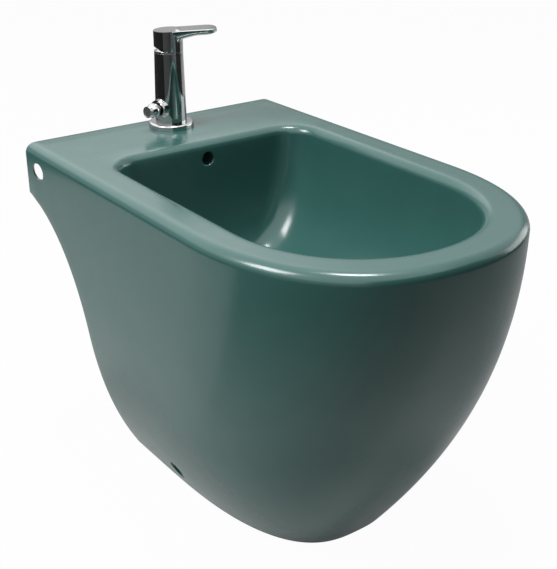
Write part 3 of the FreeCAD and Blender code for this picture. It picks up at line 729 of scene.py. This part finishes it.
    def outer_skin(self) -> bpy.types.Object:
        """Outside of the skirt, the rim and the inside of the bowl down through the waste hole.

        Returns:
            The closed skin.
        """
        stack = RingStack()
        for inset, height in ((self.foot_round, 0.0), (0.0, self.foot_round)):
            stack.add(self.skirt(height, inset, self.rear_profile(height), self.back_round).points())
        top = self.rim_height - self.rim_outer_round
        ear = self.rim_height - self.ear_height
        steps = range(1, self.SKIRT_RINGS)
        heights = [blend(self.foot_round, top, step / self.SKIRT_RINGS) for step in steps]
        heights += [ear - self.ear_edge, ear]
        for height in sorted(heights):
            stack.add(self.skirt(height, 0.0, self.rear_profile(height), self.back_round).points())
        for turn in quarter_turn(self.ROUND_RINGS):
            inset = self.rim_outer_round * (1.0 - math.cos(turn))
            height = top + self.rim_outer_round * math.sin(turn)
            back = self.back_round * (1.0 - math.cos(turn))
            stack.add(self.skirt(height, inset, self.wall - back, self.back_round).points())
        rim_edge = stack.places()
        lip = self.bowl(0.0, 0.0, self.rim_inner_round).points()
        for step in range(1, self.DECK_RINGS):
            share = step / self.DECK_RINGS
            stack.add([edge.lerp(inner, share) for edge, inner in zip(rim_edge, lip)])
        for turn in reversed(quarter_turn(self.ROUND_RINGS)[1:]):
            drop = self.rim_inner_round * (1.0 - math.sin(turn))
            growth = self.rim_inner_round * (1.0 - math.cos(turn))
            stack.add(self.bowl(drop / self.bowl_depth, 0.0, growth).points())
        for share in self.bowl_shares(self.rim_inner_round / self.bowl_depth):
            stack.add(self.bowl(share, 0.0).points())
        guide = stack.places()
        floor = self.rim_height - self.bowl_depth
        seat = floor - self.waste_seat_depth
        neck_low = floor - self.bowl_wall - self.waste_neck_length
        for diameter, height in (
                (self.waste_seat_diameter, floor), (self.waste_seat_diameter, seat),
                (self.waste_hole_diameter, seat), (self.waste_hole_diameter, neck_low - self.margin)):
            stack.add(self.circle(guide, diameter, height))
        return stack.close("ceramic_body_finished")

    def hollow(self) -> bpy.types.Object:
        """Space inside the skirt, round the bowl's outside, open below and behind.

        Returns:
            The closed cutting tool.
        """
        stack = RingStack()
        rear = self.wall + self.margin
        low = -self.margin
        top = self.rim_height - self.deck_thickness
        for step in range(self.SKIRT_RINGS + 1):
            height = blend(low, top, step / self.SKIRT_RINGS)
            stack.add(self.skirt(height, self.skirt_wall, rear, self.back_round).points())
        first = self.deck_thickness / (self.bowl_depth + self.bowl_wall)
        for share in self.bowl_shares(first):
            stack.add(self.bowl(share, self.bowl_wall).points())
        guide = stack.places()
        floor = self.rim_height - self.bowl_depth - self.bowl_wall
        neck = self.waste_hole_diameter + 2 * self.waste_neck_wall
        stack.add(self.circle(guide, neck, floor))
        stack.add(self.circle(guide, neck, floor - self.waste_neck_length))
        return stack.close("hollow_tool")

    def duct(self) -> bpy.types.Object:
        """Cast duct behind the bowl that leads the overflow down to the waste.

        Returns:
            The closed duct, which reaches a little into the bowl's wall.
        """
        half = self.duct_width / 2 + self.duct_wall
        outside = self.bowl_wall + self.duct_depth + self.duct_wall
        first = self.deck_thickness / 2 / (self.bowl_depth + outside)
        neck_side = self.waste_y + self.waste_hole_diameter / 2 + self.duct_wall
        stack = RingStack()
        for share in self.bowl_shares(first)[:-self.DUCT_RINGS_LEFT_OUT]:
            outer = self.bowl(share, outside)
            inner = self.bowl(min(share * (self.bowl_depth + outside) / self.bowl_depth, 1.0), 0.0)
            near = max(inner.rear + self.bowl_wall / 2, neck_side)
            corners = ((-half, outer.rear), (half, outer.rear), (half, near), (-half, near))
            stack.add([Vector((x, y, outer.height)) for x, y in corners])
        return stack.close("duct_tool")

    def flared_hole(self, mouth: Vector, inward: Vector, diameter: float, depth: float,
                    lip: float) -> bpy.types.Object:
        """Cutting tool for a round hole whose glazed edge is rounded.

        Args:
            mouth: Middle of the hole on the surface.
            inward: Direction into the wall.
            diameter: Diameter of the hole.
            depth: Depth of the hole below the surface.
            lip: Radius of the rounded edge.

        Returns:
            The closed cutting tool.
        """
        work = bmesh.new()
        radius = diameter / 2
        profile = [(0.0, -self.margin), (radius + lip, -self.margin), (radius + lip, 0.0)]
        for turn in quarter_turn(self.LIP_STEPS)[1:]:
            profile.append((radius + lip * (1.0 - math.sin(turn)), lip * (1.0 - math.cos(turn))))
        profile += [(radius, depth), (0.0, depth)]
        verts = [work.verts.new((across, 0.0, along)) for across, along in profile]
        edges = [work.edges.new(pair) for pair in zip(verts[:-1], verts[1:])]
        bmesh.ops.spin(work, geom=verts + edges, cent=(0, 0, 0), axis=(0, 0, 1), angle=2 * math.pi,
                       steps=self.HOLE_STEPS, use_merge=True)
        bmesh.ops.remove_doubles(work, verts=work.verts, dist=MERGE_DISTANCE)
        bmesh.ops.recalc_face_normals(work, faces=work.faces)
        turned = inward.to_track_quat("Z", "Y").to_matrix().to_4x4()
        bmesh.ops.transform(work, matrix=Matrix.Translation(mouth) @ turned, verts=work.verts)
        return new_object("hole_tool", work)

    def ear_pocket(self, side: float) -> bpy.types.Object:
        """Cutting tool for the pocket behind an ear's hole, open to the wall.

        Args:
            side: -1 for the left ear and 1 for the right one.

        Returns:
            The closed cutting tool.
        """
        work = bmesh.new()
        bmesh.ops.create_cube(work, size=1.0)
        width = self.skirt_wall + self.overlap - self.ear_pocket_wall
        length = self.ear_hole_wall_gap + self.ear_pocket_ahead + self.overlap
        top = self.rim_height - self.deck_thickness
        middle = Vector((side * (self.rim_width / 2 - self.ear_pocket_wall - width / 2),
                         self.wall + self.overlap - length / 2, top - self.ear_pocket_height / 2))
        size = Matrix.Diagonal((width, length, self.ear_pocket_height, 1.0))
        bmesh.ops.transform(work, matrix=Matrix.Translation(middle) @ size, verts=work.verts)
        return new_object("pocket_tool", work)

    def on_side(self, side: float, wall_gap: float, height: float) -> Vector:
        """Point on the outside of the skirt.

        Args:
            side: -1 for the left and 1 for the right.
            wall_gap: Distance from the wall.
            height: Height above the floor.

        Returns:
            The point.
        """
        half_width = self.skirt(height, 0.0, self.wall, 0.0).half_width
        return Vector((side * half_width, self.wall - wall_gap, height))

    def holes(self) -> list[bpy.types.Object]:
        """Cutting tools of all holes apart from the waste's.

        Returns:
            The tools.
        """
        tap = Vector((0.0, self.wall - self.tap_wall_gap, self.rim_height))
        tools = [self.flared_hole(tap, Vector((0, 0, -1)), self.tap_hole_diameter, 2 * self.deck_thickness,
                                  self.tap_hole_lip)]
        bowl_back = self.bowl(self.overflow_drop / self.bowl_depth, 0.0)
        overflow = Vector((0.0, bowl_back.rear, bowl_back.height))
        tools.append(self.flared_hole(overflow, Vector((0, 1, 0)), self.overflow_diameter,
                                      self.bowl_wall + self.duct_depth, self.overflow_lip))
        slope = math.radians(self.ear_hole_angle)
        for side in (-1.0, 1.0):
            mouth = self.on_side(side, self.ear_hole_wall_gap, self.rim_height - self.ear_hole_drop)
            inward = Vector((-side * math.cos(slope), math.sin(slope), 0.0))
            tools.append(self.flared_hole(mouth, inward, self.ear_hole_diameter, 2 * self.margin,
                                          self.ear_hole_lip))
            tools.append(self.ear_pocket(side))
            mouth = self.on_side(side, self.floor_hole_wall_gap, self.floor_hole_height)
            tools.append(self.flared_hole(mouth, Vector((-side, 0.0, 0.0)), self.floor_hole_diameter,
                                          2 * self.skirt_wall, self.floor_hole_lip))
        return tools

    def build(self) -> bpy.types.Object:
        """Makes the casting and dresses it.

        Returns:
            The finished piece.
        """
        body = self.outer_skin()
        boolean(body, self.hollow(), "DIFFERENCE")
        boolean(body, self.duct(), "UNION")
        for tool in self.holes():
            boolean(body, tool, "DIFFERENCE")
        mend_seams(body)
        smooth(body)
        dress(body, Slot.GLAZE, Body.BIDET, "ceramic_body")
        return body


# Metal, rubber and plastic pieces

@dataclass(frozen=True)
class Fitting:
    """A piece that keeps its CAD shape and gets rounded edges and a finish.

    Attributes:
        node: CAD node.
        slot: Material slot.
        body: Body that it moves with.
        rounding: Width of its rounded edges, 0 for none.
        finish: Finish of its own in place of the slot's.
    """

    node: str
    slot: Slot
    body: Body
    rounding: float
    finish: Finish | None = None

    def shape(self) -> bpy.types.Object:
        """Shape of the piece."""
        return rounded_copy(self.node, self.rounding)

    def build(self) -> bpy.types.Object:
        """Makes the piece and dresses it.

        Returns:
            The finished piece.
        """
        piece = self.shape()
        even_normals(piece)
        dress(piece, self.slot, self.body, self.node, self.finish)
        return piece


@dataclass(frozen=True)
class LeverHandle(Fitting):
    """The lever, whose flat top rises towards the tip over a blade with a keel, fuller than the solid's.

    Attributes:
        axis: X and Y of the tap's axis.
        direction: Direction of the blade, in degrees from +X.
        roof: Height of the hollow's roof in the head.
        top: Height of the solid's top.
        lift: How much higher the top stands at the axis.
        slope: Rise of the top along the blade, in degrees.
        root: Distances from the axis where the solid's blade leaves the head and is inside the fuller one.
        core: Thickness of the solid's blade that is kept inside the fuller one, as a share.
        start: Distance from the axis where the fuller blade begins.
        scoop_end: Distance from the axis from where its underside runs level with the top.
        tip_start: Distance from the axis where the tip begins to narrow.
        reach: Distance of the tip from the axis.
        half_width: Half of the blade's width.
        root_keel: Depth of the keel where the blade begins.
        keel: Depth of the keel along the blade.
        tip_fall: Drop of the top at the tip.
        tip_gap: How far short of the tip the last section stands.
        edge: Drop of the top along the blade's edges.
        scoop_power: How fast the keel's depth falls behind the head.
        tip_power: Fullness of the tip.
        edge_power: How close to the blade's edges the top begins to drop.
    """

    axis: Pair = (0.0, 0.247)
    direction: float = -30.0
    roof: float = 0.513
    top: float = 0.519
    lift: float = 0.0033
    slope: float = 2.4
    root: Pair = (0.0184, 0.0230)
    core: float = 0.3
    start: float = 0.004
    scoop_end: float = 0.036
    tip_start: float = 0.045
    reach: float = 0.0605
    half_width: float = 0.0176
    root_keel: float = 0.016
    keel: float = 0.0085
    tip_fall: float = 0.002
    tip_gap: float = 0.000125
    edge: float = 0.0005
    scoop_power: float = 1.25
    tip_power: float = 2.5
    edge_power: float = 8.0

    STATIONS = 48
    SECTION_POINTS = 48

    def shape(self) -> bpy.types.Object:
        """Shape of the lever: the solid's head joined with the fuller blade.

        Returns:
            The lever.
        """
        piece = rounded_copy(self.node, self.rounding)
        for vertex in piece.data.vertices:
            vertex.co = self.lifted(vertex.co)
        boolean(piece, self.blade(), "UNION")
        mend_seams(piece)
        smooth(piece)
        return piece

    def plane(self, along: float) -> float:
        """Height of the flat top at a distance from the axis."""
        return self.top + self.lift + along * math.tan(math.radians(self.slope))

    def placed(self, along: float, across: float, height: float) -> Vector:
        """Places a point on the blade.

        Args:
            along: Distance from the axis along the blade.
            across: Distance from the blade's middle.
            height: Z of the point.

        Returns:
            The point.
        """
        turn = math.radians(self.direction)
        return Vector((self.axis[0] + along * math.cos(turn) - across * math.sin(turn),
                       self.axis[1] + along * math.sin(turn) + across * math.cos(turn), height))

    def lifted(self, point: Vector) -> Vector:
        """Moves a point of the solid: the head's top to the new plane, the blade into the fuller one.

        Args:
            point: Point of the solid.

        Returns:
            The moved point.
        """
        turn = math.radians(self.direction)
        offset = Vector((point.x - self.axis[0], point.y - self.axis[1]))
        along = offset.x * math.cos(turn) + offset.y * math.sin(turn)
        roof = share_of(point.z, self.roof, self.top)
        head = point.z + (self.plane(along) - self.top) * roof
        core = self.plane(along) - self.keel / 2 + (point.z - self.top) * self.core
        return Vector((point.x, point.y, blend(head, core, share_of(offset.length, *self.root))))

    def blade(self) -> bpy.types.Object:
        """Blade with a flat top and a keel that is scooped out behind the head.

        Returns:
            The closed blade.
        """
        stack = RingStack()
        for turn in quarter_turn(self.STATIONS):
            along = blend(self.start, self.reach, math.sin(turn))
            stack.add(self.section(min(along, self.reach - self.tip_gap)))
        return stack.close("blade_tool")

    def section(self, along: float) -> list[Vector]:
        """Upright section of the blade.

        Args:
            along: Distance from the axis.

        Returns:
            The section's points.
        """
        scoop = (1.0 - share_of(along, self.start, self.scoop_end)) ** self.scoop_power
        tip = share_of(along, self.tip_start, self.reach)
        taper = (1.0 - tip ** self.tip_power) ** (1.0 / self.tip_power)
        depth = blend(self.keel, self.root_keel, scoop) * taper
        top = self.plane(along) - self.tip_fall * (1.0 - taper)
        points = []
        for step in range(self.SECTION_POINTS):
            turn = 2 * math.pi * step / self.SECTION_POINTS
            across = self.half_width * taper * math.cos(turn)
            drop = self.edge * taper * abs(math.cos(turn)) ** self.edge_power
            if math.sin(turn) < 0.0:
                drop = self.edge * taper + depth * abs(math.sin(turn))
            points.append(self.placed(along, across, top - drop))
        return points


@dataclass
class SubAssembly:
    """A named group of fittings.

    Attributes:
        title: Name for the log.
        fittings: Its pieces.
    """

    title: str
    fittings: list[Fitting]

    def build(self) -> list[bpy.types.Object]:
        """Makes every fitting of the group."""
        log.info("%s: %d pieces", self.title, len(self.fittings))
        return [fitting.build() for fitting in self.fittings]


FINE_EDGE = 0.00015
SMALL_EDGE = 0.0003
PLAIN_EDGE = 0.0006

TAP = SubAssembly("tap", [
    Fitting("base_ring", Slot.CHROME, Body.BIDET, SMALL_EDGE),
    Fitting("base_gasket", Slot.RUBBER, Body.BIDET, FINE_EDGE),
    Fitting("tap_body", Slot.CHROME, Body.BIDET, SMALL_EDGE),
    Fitting("mounting_stud", Slot.STEEL, Body.BIDET, PLAIN_EDGE),
    Fitting("clamp_washer", Slot.RUBBER, Body.BIDET, SMALL_EDGE),
    Fitting("clamp_plate", Slot.STEEL, Body.BIDET, SMALL_EDGE),
    Fitting("clamp_nut", Slot.BRASS, Body.BIDET, SMALL_EDGE),
    Fitting("dome_cover", Slot.CHROME, Body.BIDET, FINE_EDGE),
    LeverHandle("lever_handle", Slot.CHROME, Body.LEVER, SMALL_EDGE),
    Fitting("lever_screw", Slot.STEEL, Body.LEVER, FINE_EDGE),
])

CARTRIDGE = SubAssembly("cartridge", [
    Fitting("cartridge_base", Slot.PLASTIC, Body.BIDET, FINE_EDGE),
    Fitting("port_seals", Slot.RUBBER, Body.BIDET, FINE_EDGE),
    Fitting("cartridge_housing", Slot.PLASTIC, Body.BIDET, FINE_EDGE),
    Fitting("fixed_disc", Slot.DISC_CERAMIC, Body.BIDET, FINE_EDGE),
    Fitting("moving_disc", Slot.DISC_CERAMIC, Body.DISC, FINE_EDGE),
    Fitting("disc_carrier", Slot.PLASTIC, Body.DISC, FINE_EDGE),
    Fitting("spindle_carrier", Slot.PLASTIC, Body.SPINDLE, FINE_EDGE),
    Fitting("stem_pin", Slot.STEEL, Body.SPINDLE, FINE_EDGE),
    Fitting("lever_stem", Slot.BRASS, Body.LEVER, FINE_EDGE),
    Fitting("cartridge_nut", Slot.BRASS, Body.BIDET, FINE_EDGE),
])

OUTLET = SubAssembly("outlet", [
    Fitting("swivel_gasket", Slot.RUBBER, Body.BIDET, FINE_EDGE),
    Fitting("swivel_base", Slot.CHROME, Body.BIDET, FINE_EDGE),
    Fitting("cup_washer", Slot.PLASTIC, Body.OUTLET_CUP, 0.0),
    Fitting("outlet_housing", Slot.CHROME, Body.OUTLET, FINE_EDGE),
    Fitting("outlet_retainer", Slot.CHROME, Body.OUTLET, 0.0),
    Fitting("aerator_insert", Slot.PLASTIC, Body.OUTLET, FINE_EDGE, AERATOR_FINISH),
])

WASTE = SubAssembly("waste", [
    Fitting("waste_body", Slot.CHROME, Body.BIDET, SMALL_EDGE),
    Fitting("flange_seal", Slot.RUBBER, Body.BIDET, SMALL_EDGE),
    Fitting("waste_washer", Slot.RUBBER, Body.BIDET, PLAIN_EDGE),
    Fitting("waste_backnut", Slot.BRASS, Body.BIDET, PLAIN_EDGE),
    Fitting("plug_sleeve", Slot.BRASS, Body.BIDET, FINE_EDGE),
    Fitting("plug_plunger", Slot.BRASS, Body.PLUG, SMALL_EDGE),
    Fitting("plug_cap", Slot.CHROME, Body.PLUG, PLAIN_EDGE),
    Fitting("plug_seal", Slot.RUBBER, Body.PLUG, SMALL_EDGE),
])


# Studio

WHOLE = (0.0, 1.0)
FELT_TONE = (0.012, 0.013, 0.013)
MATT = 0.9


def aimed(name: str, data: bpy.types.ID, place: Sequence[float], facing: Vector) -> bpy.types.Object:
    """Puts a lamp or a camera into the scene.

    Args:
        name: Name of the object.
        data: The lamp or the camera.
        place: Where it stands.
        facing: Direction that it faces.

    Returns:
        The object.
    """
    made = bpy.data.objects.new(name, data)
    made.location = place
    made.rotation_euler = facing.to_track_quat("-Z", "Y").to_euler()
    bpy.context.scene.collection.objects.link(made)
    return made


def board(name: str, size: Pair, placing: Matrix) -> bpy.types.Object:
    """Makes a flat board.

    Args:
        name: Name of the board.
        size: Width and height.
        placing: Turn and place of the board, whose face looks along Z before it.

    Returns:
        The board.
    """
    work = bmesh.new()
    bmesh.ops.create_grid(work, x_segments=1, y_segments=1, size=0.5)
    bmesh.ops.transform(work, matrix=placing @ Matrix.Diagonal((*size, 1.0, 1.0)), verts=work.verts)
    return new_object(name, work)


@dataclass(frozen=True)
class SoftBox:
    """A large soft lamp.

    Attributes:
        name: Name of the lamp.
        place: Where it hangs.
        target: Point that it faces.
        size: Width and height.
        power: Power in watts.
    """

    name: str
    place: Triple
    target: Triple
    size: Pair
    power: float

    def build(self) -> bpy.types.Object:
        """Hangs the lamp.

        Returns:
            The lamp's object.
        """
        lamp = bpy.data.lights.new(self.name, "AREA")
        lamp.shape = "RECTANGLE"
        lamp.size, lamp.size_y = self.size
        lamp.energy = self.power
        return aimed(self.name, lamp, self.place, Vector(self.target) - Vector(self.place))


@dataclass(frozen=True)
class DarkCard:
    """A dark card beside the set, which darkens what the metal and the glaze mirror.

    Attributes:
        name: Name of the card.
        place: Its middle.
        target: Point that it faces.
        size: Width and height.
        mirrored_only: Whether it is seen in mirrors alone and takes no light from the set.
    """

    name: str
    place: Triple
    target: Triple
    size: Pair
    mirrored_only: bool = False

    def build(self) -> bpy.types.Object:
        """Puts the card up.

        Returns:
            The card's object.
        """
        facing = (Vector(self.target) - Vector(self.place)).to_track_quat("Z", "Y").to_matrix().to_4x4()
        card = board(self.name, self.size, Matrix.Translation(self.place) @ facing)
        card.data.materials.append(self._felt())
        card.visible_camera = False
        card.visible_shadow = False
        card.visible_diffuse = not self.mirrored_only
        return card

    @staticmethod
    def _felt() -> bpy.types.Material:
        """Dark felt of the cards."""
        return bpy.data.materials.get("card_felt") or plain_material("card_felt", FELT_TONE, MATT)


@dataclass(frozen=True)
class DarkCloth:
    """A dark cloth on the floor on the camera's side, thin near the object and dense further away.

    Attributes:
        name: Name of the cloth.
        corners: X and Y of its corners.
        fade: Distances from the origin where it begins and where it is dense.
        thinning: X values between which it grows thinner towards the right.
        right_density: Its density on the right, as a share of that on the left.
        height: Height above the floor.
    """

    name: str
    corners: tuple[Pair, ...]
    fade: Pair
    thinning: Pair
    right_density: float
    height: float = 0.003

    def build(self) -> bpy.types.Object:
        """Lays the cloth out.

        Returns:
            The cloth's object.
        """
        work = bmesh.new()
        work.faces.new([work.verts.new((x, y, self.height)) for x, y in self.corners])
        cloth = new_object(self.name, work)
        cloth.data.materials.append(self._weave())
        cloth.visible_camera = False
        cloth.visible_shadow = False
        return cloth

    def _weave(self) -> bpy.types.Material:
        """Dark weave that grows denser with the distance from the origin.

        Returns:
            The weave's material.
        """
        made = plain_material(self.name, FELT_TONE, MATT)
        tree = made.node_tree
        place = tree.nodes.new("ShaderNodeTexCoord").outputs["Object"]
        across = tree.nodes.new("ShaderNodeSeparateXYZ")
        tree.links.new(place, across.inputs["Vector"])
        thin = map_range(tree, across.outputs["X"], self.thinning, (1.0, self.right_density))
        reach = tree.nodes.new("ShaderNodeVectorMath")
        reach.operation = "LENGTH"
        tree.links.new(place, reach.inputs[0])
        density = map_range(tree, reach.outputs["Value"], self.fade, WHOLE)
        tree.links.new(thin.outputs["Result"], density.inputs["To Max"])
        clear = tree.nodes.new("ShaderNodeBsdfTransparent")
        dark = tree.nodes["Principled BSDF"]
        mix_shaders(tree, density.outputs["Result"], clear.outputs["BSDF"], dark.outputs["BSDF"])
        return made


@dataclass
class Studio:
    """White set with soft lamps, dark cards and the camera at the photograph's view.

    Attributes:
        lamps: The soft lamps.
        cards: The dark cards and the cloth.
        target: Point that the camera looks at.
        azimuth: Direction of the view, in degrees from +Y towards -X.
        elevation: Angle of the view below the horizon, in degrees.
        distance: Distance from the target.
        focal: Focal length in pixels of the photograph.
        principal: Principal point in pixels of the photograph.
        sensor: Width of the camera's sensor in millimetres.
        floor_size: Width of the floor.
        floor_drop: How far the floor lies below the foot.
        world_light: Strength of the even light.
        horizon_rise: Angles above the horizon in degrees between which the mirrored background brightens.
        horizon_light: Its strength at these two angles.
        horizon_side: X of the mirrored direction between which the background dims towards the right.
        horizon_dim: Share of its strength that is left there.
        floor_tone: Grey of the floor.
        floor_shadow: Share of the floor's own shading that the camera sees.
        floor_glow: Share of plain white in the mirrored floor.
    """

    lamps: Sequence[SoftBox]
    cards: Sequence[DarkCard | DarkCloth]
    target: Triple = (-0.19652, -0.23034, 0.400)
    azimuth: float = -35.95
    elevation: float = 25.11
    distance: float = 0.89953
    focal: float = 1053.43
    principal: Pair = (265.74, 291.23)
    sensor: float = 36.0
    floor_size: float = 12.0
    floor_drop: float = 0.0002
    world_light: float = 0.24
    horizon_rise: Pair = (15.5, 23.0)
    horizon_light: Pair = (0.58, 2.00)
    horizon_side: Pair = (0.50, 0.62)
    horizon_dim: float = 0.58
    floor_tone: float = 0.62
    floor_shadow: float = 0.03
    floor_glow: float = 0.15

    def camera(self) -> bpy.types.Object:
        """Sets the camera up.

        Returns:
            The camera's object.
        """
        longest = max(IMAGE_WIDTH, IMAGE_HEIGHT)
        lens = bpy.data.cameras.new("photo_view")
        lens.sensor_fit = "AUTO"
        lens.sensor_width = self.sensor
        lens.lens = self.focal * self.sensor / longest
        lens.shift_x = (IMAGE_WIDTH / 2 - self.principal[0]) / longest
        lens.shift_y = (self.principal[1] - IMAGE_HEIGHT / 2) / longest
        turn, rise = math.radians(self.azimuth), math.radians(self.elevation)
        view = Vector((-math.sin(turn) * math.cos(rise), math.cos(turn) * math.cos(rise), -math.sin(rise)))
        made = aimed("photo_view", lens, Vector(self.target) - view * self.distance, view)
        bpy.context.scene.camera = made
        return made

    @staticmethod
    def by_ray(tree: bpy.types.NodeTree, seen: float, mirrored: bpy.types.NodeSocket | float,
               other: float) -> bpy.types.NodeSocket:
        """Adds a value that depends on the ray that asks for it.

        Args:
            tree: Node tree that gets the nodes.
            seen: Value on rays from the camera.
            mirrored: Value on rays from a mirror or through glass, as a number or a socket.
            other: Value on the rays that light the set.

        Returns:
            Socket with the value.
        """
        path = tree.nodes.new("ShaderNodeLightPath")
        shown = tree.nodes.new("ShaderNodeMath")
        shown.operation = "MAXIMUM"
        tree.links.new(path.outputs["Is Glossy Ray"], shown.inputs[0])
        tree.links.new(path.outputs["Is Transmission Ray"], shown.inputs[1])
        behind = map_range(tree, shown.outputs["Value"], WHOLE, (other, 1.0))
        if isinstance(mirrored, float):
            behind.inputs["To Max"].default_value = mirrored
        else:
            tree.links.new(mirrored, behind.inputs["To Max"])
        value = map_range(tree, path.outputs["Is Camera Ray"], WHOLE, (0.0, seen))
        tree.links.new(behind.outputs["Result"], value.inputs["To Min"])
        return value.outputs["Result"]

    def world(self) -> None:
        """Lights the set evenly before a white background, which is dimmer near the horizon in a mirror."""
        world = bpy.data.worlds.new("white_set")
        bpy.context.scene.world = world
        world.use_nodes = True
        tree = world.node_tree
        ground = tree.nodes["Background"]
        ground.inputs["Color"].default_value = (1.0, 1.0, 1.0, 1.0)
        direction = tree.nodes.new("ShaderNodeSeparateXYZ")
        tree.links.new(tree.nodes.new("ShaderNodeTexCoord").outputs["Generated"], direction.inputs["Vector"])
        low, high = [math.sin(math.radians(angle)) for angle in self.horizon_rise]
        rise = map_range(tree, direction.outputs["Z"], (low, high), self.horizon_light)
        side = map_range(tree, direction.outputs["X"], self.horizon_side, (1.0, self.horizon_dim))
        glow = tree.nodes.new("ShaderNodeMath")
        glow.operation = "MULTIPLY"
        tree.links.new(rise.outputs["Result"], glow.inputs[0])
        tree.links.new(side.outputs["Result"], glow.inputs[1])
        strength = self.by_ray(tree, seen=1.0, mirrored=glow.outputs["Value"], other=self.world_light)
        tree.links.new(strength, ground.inputs["Strength"])

    def floor(self) -> bpy.types.Object:
        """Lays a white floor that keeps a soft shadow.

        Returns:
            The floor's object.
        """
        low = Matrix.Translation((0.0, 0.0, -self.floor_drop))
        floor = board("studio_floor", (self.floor_size, self.floor_size), low)
        paint = plain_material("white_floor", (self.floor_tone, self.floor_tone, self.floor_tone), MATT)
        tree = paint.node_tree
        shader = tree.nodes["Principled BSDF"]
        glow = tree.nodes.new("ShaderNodeEmission")
        glow.inputs["Color"].default_value = (1.0, 1.0, 1.0, 1.0)
        share = self.by_ray(tree, seen=1.0 - self.floor_shadow, mirrored=self.floor_glow, other=0.0)
        mix_shaders(tree, share, shader.outputs["BSDF"], glow.outputs["Emission"])
        floor.data.materials.append(paint)
        return floor

    def build(self) -> None:
        """Sets up camera, world, floor, lamps and cards."""
        bpy.context.scene.view_settings.view_transform = "Standard"
        self.camera()
        self.world()
        self.floor()
        for prop in (*self.lamps, *self.cards):
            prop.build()


# Lamps and cards of the studio, with the points that they face
MIDDLE = (0.0, 0.0, 0.35)
TAP_MIDDLE = (0.0, 0.247, 0.46)
LAMPS = (
    SoftBox("key_box", place=(-1.85, 0.30, 2.20), target=MIDDLE, size=(1.0, 1.0), power=55.0),
    SoftBox("top_box", place=(0.15, -0.05, 2.5), target=MIDDLE, size=(0.5, 0.5), power=27.0),
    SoftBox("right_fill", place=(2.4, -0.4, 0.7), target=MIDDLE, size=(1.6, 1.0), power=13.0),
)
CARDS = (
    DarkCloth("front_cloth", fade=(0.20, 0.85), thinning=(-0.8, 0.3), right_density=0.35, corners=(
        (-3.0, 0.70), (-0.3, 0.08), (0.3, 0.08), (3.0, 0.70), (3.0, -3.0), (-3.0, -3.0))),
    DarkCard("front_card", place=(0.6, -2.5, 1.2), target=(0.0, 0.0, 1.2), size=(4.2, 2.4)),
    DarkCard("left_card", place=(-1.0, 0.50, 0.20), target=TAP_MIDDLE, size=(1.3, 0.28), mirrored_only=True),
    DarkCard("back_card", place=(-0.35, 1.30, 0.18), target=TAP_MIDDLE, size=(1.4, 0.28), mirrored_only=True),
    DarkCard("right_card", place=(1.2, -0.75, 0.18), target=TAP_MIDDLE, size=(1.4, 0.30), mirrored_only=True),
)


def main() -> None:
    """Builds the bidet and its studio."""
    logging.basicConfig(level=logging.INFO, format="%(message)s")
    CeramicBody().build()
    for group in (TAP, CARTRIDGE, OUTLET, WASTE):
        group.build()
    Studio(LAMPS, CARDS).build()


if __name__ == "__main__":
    main()
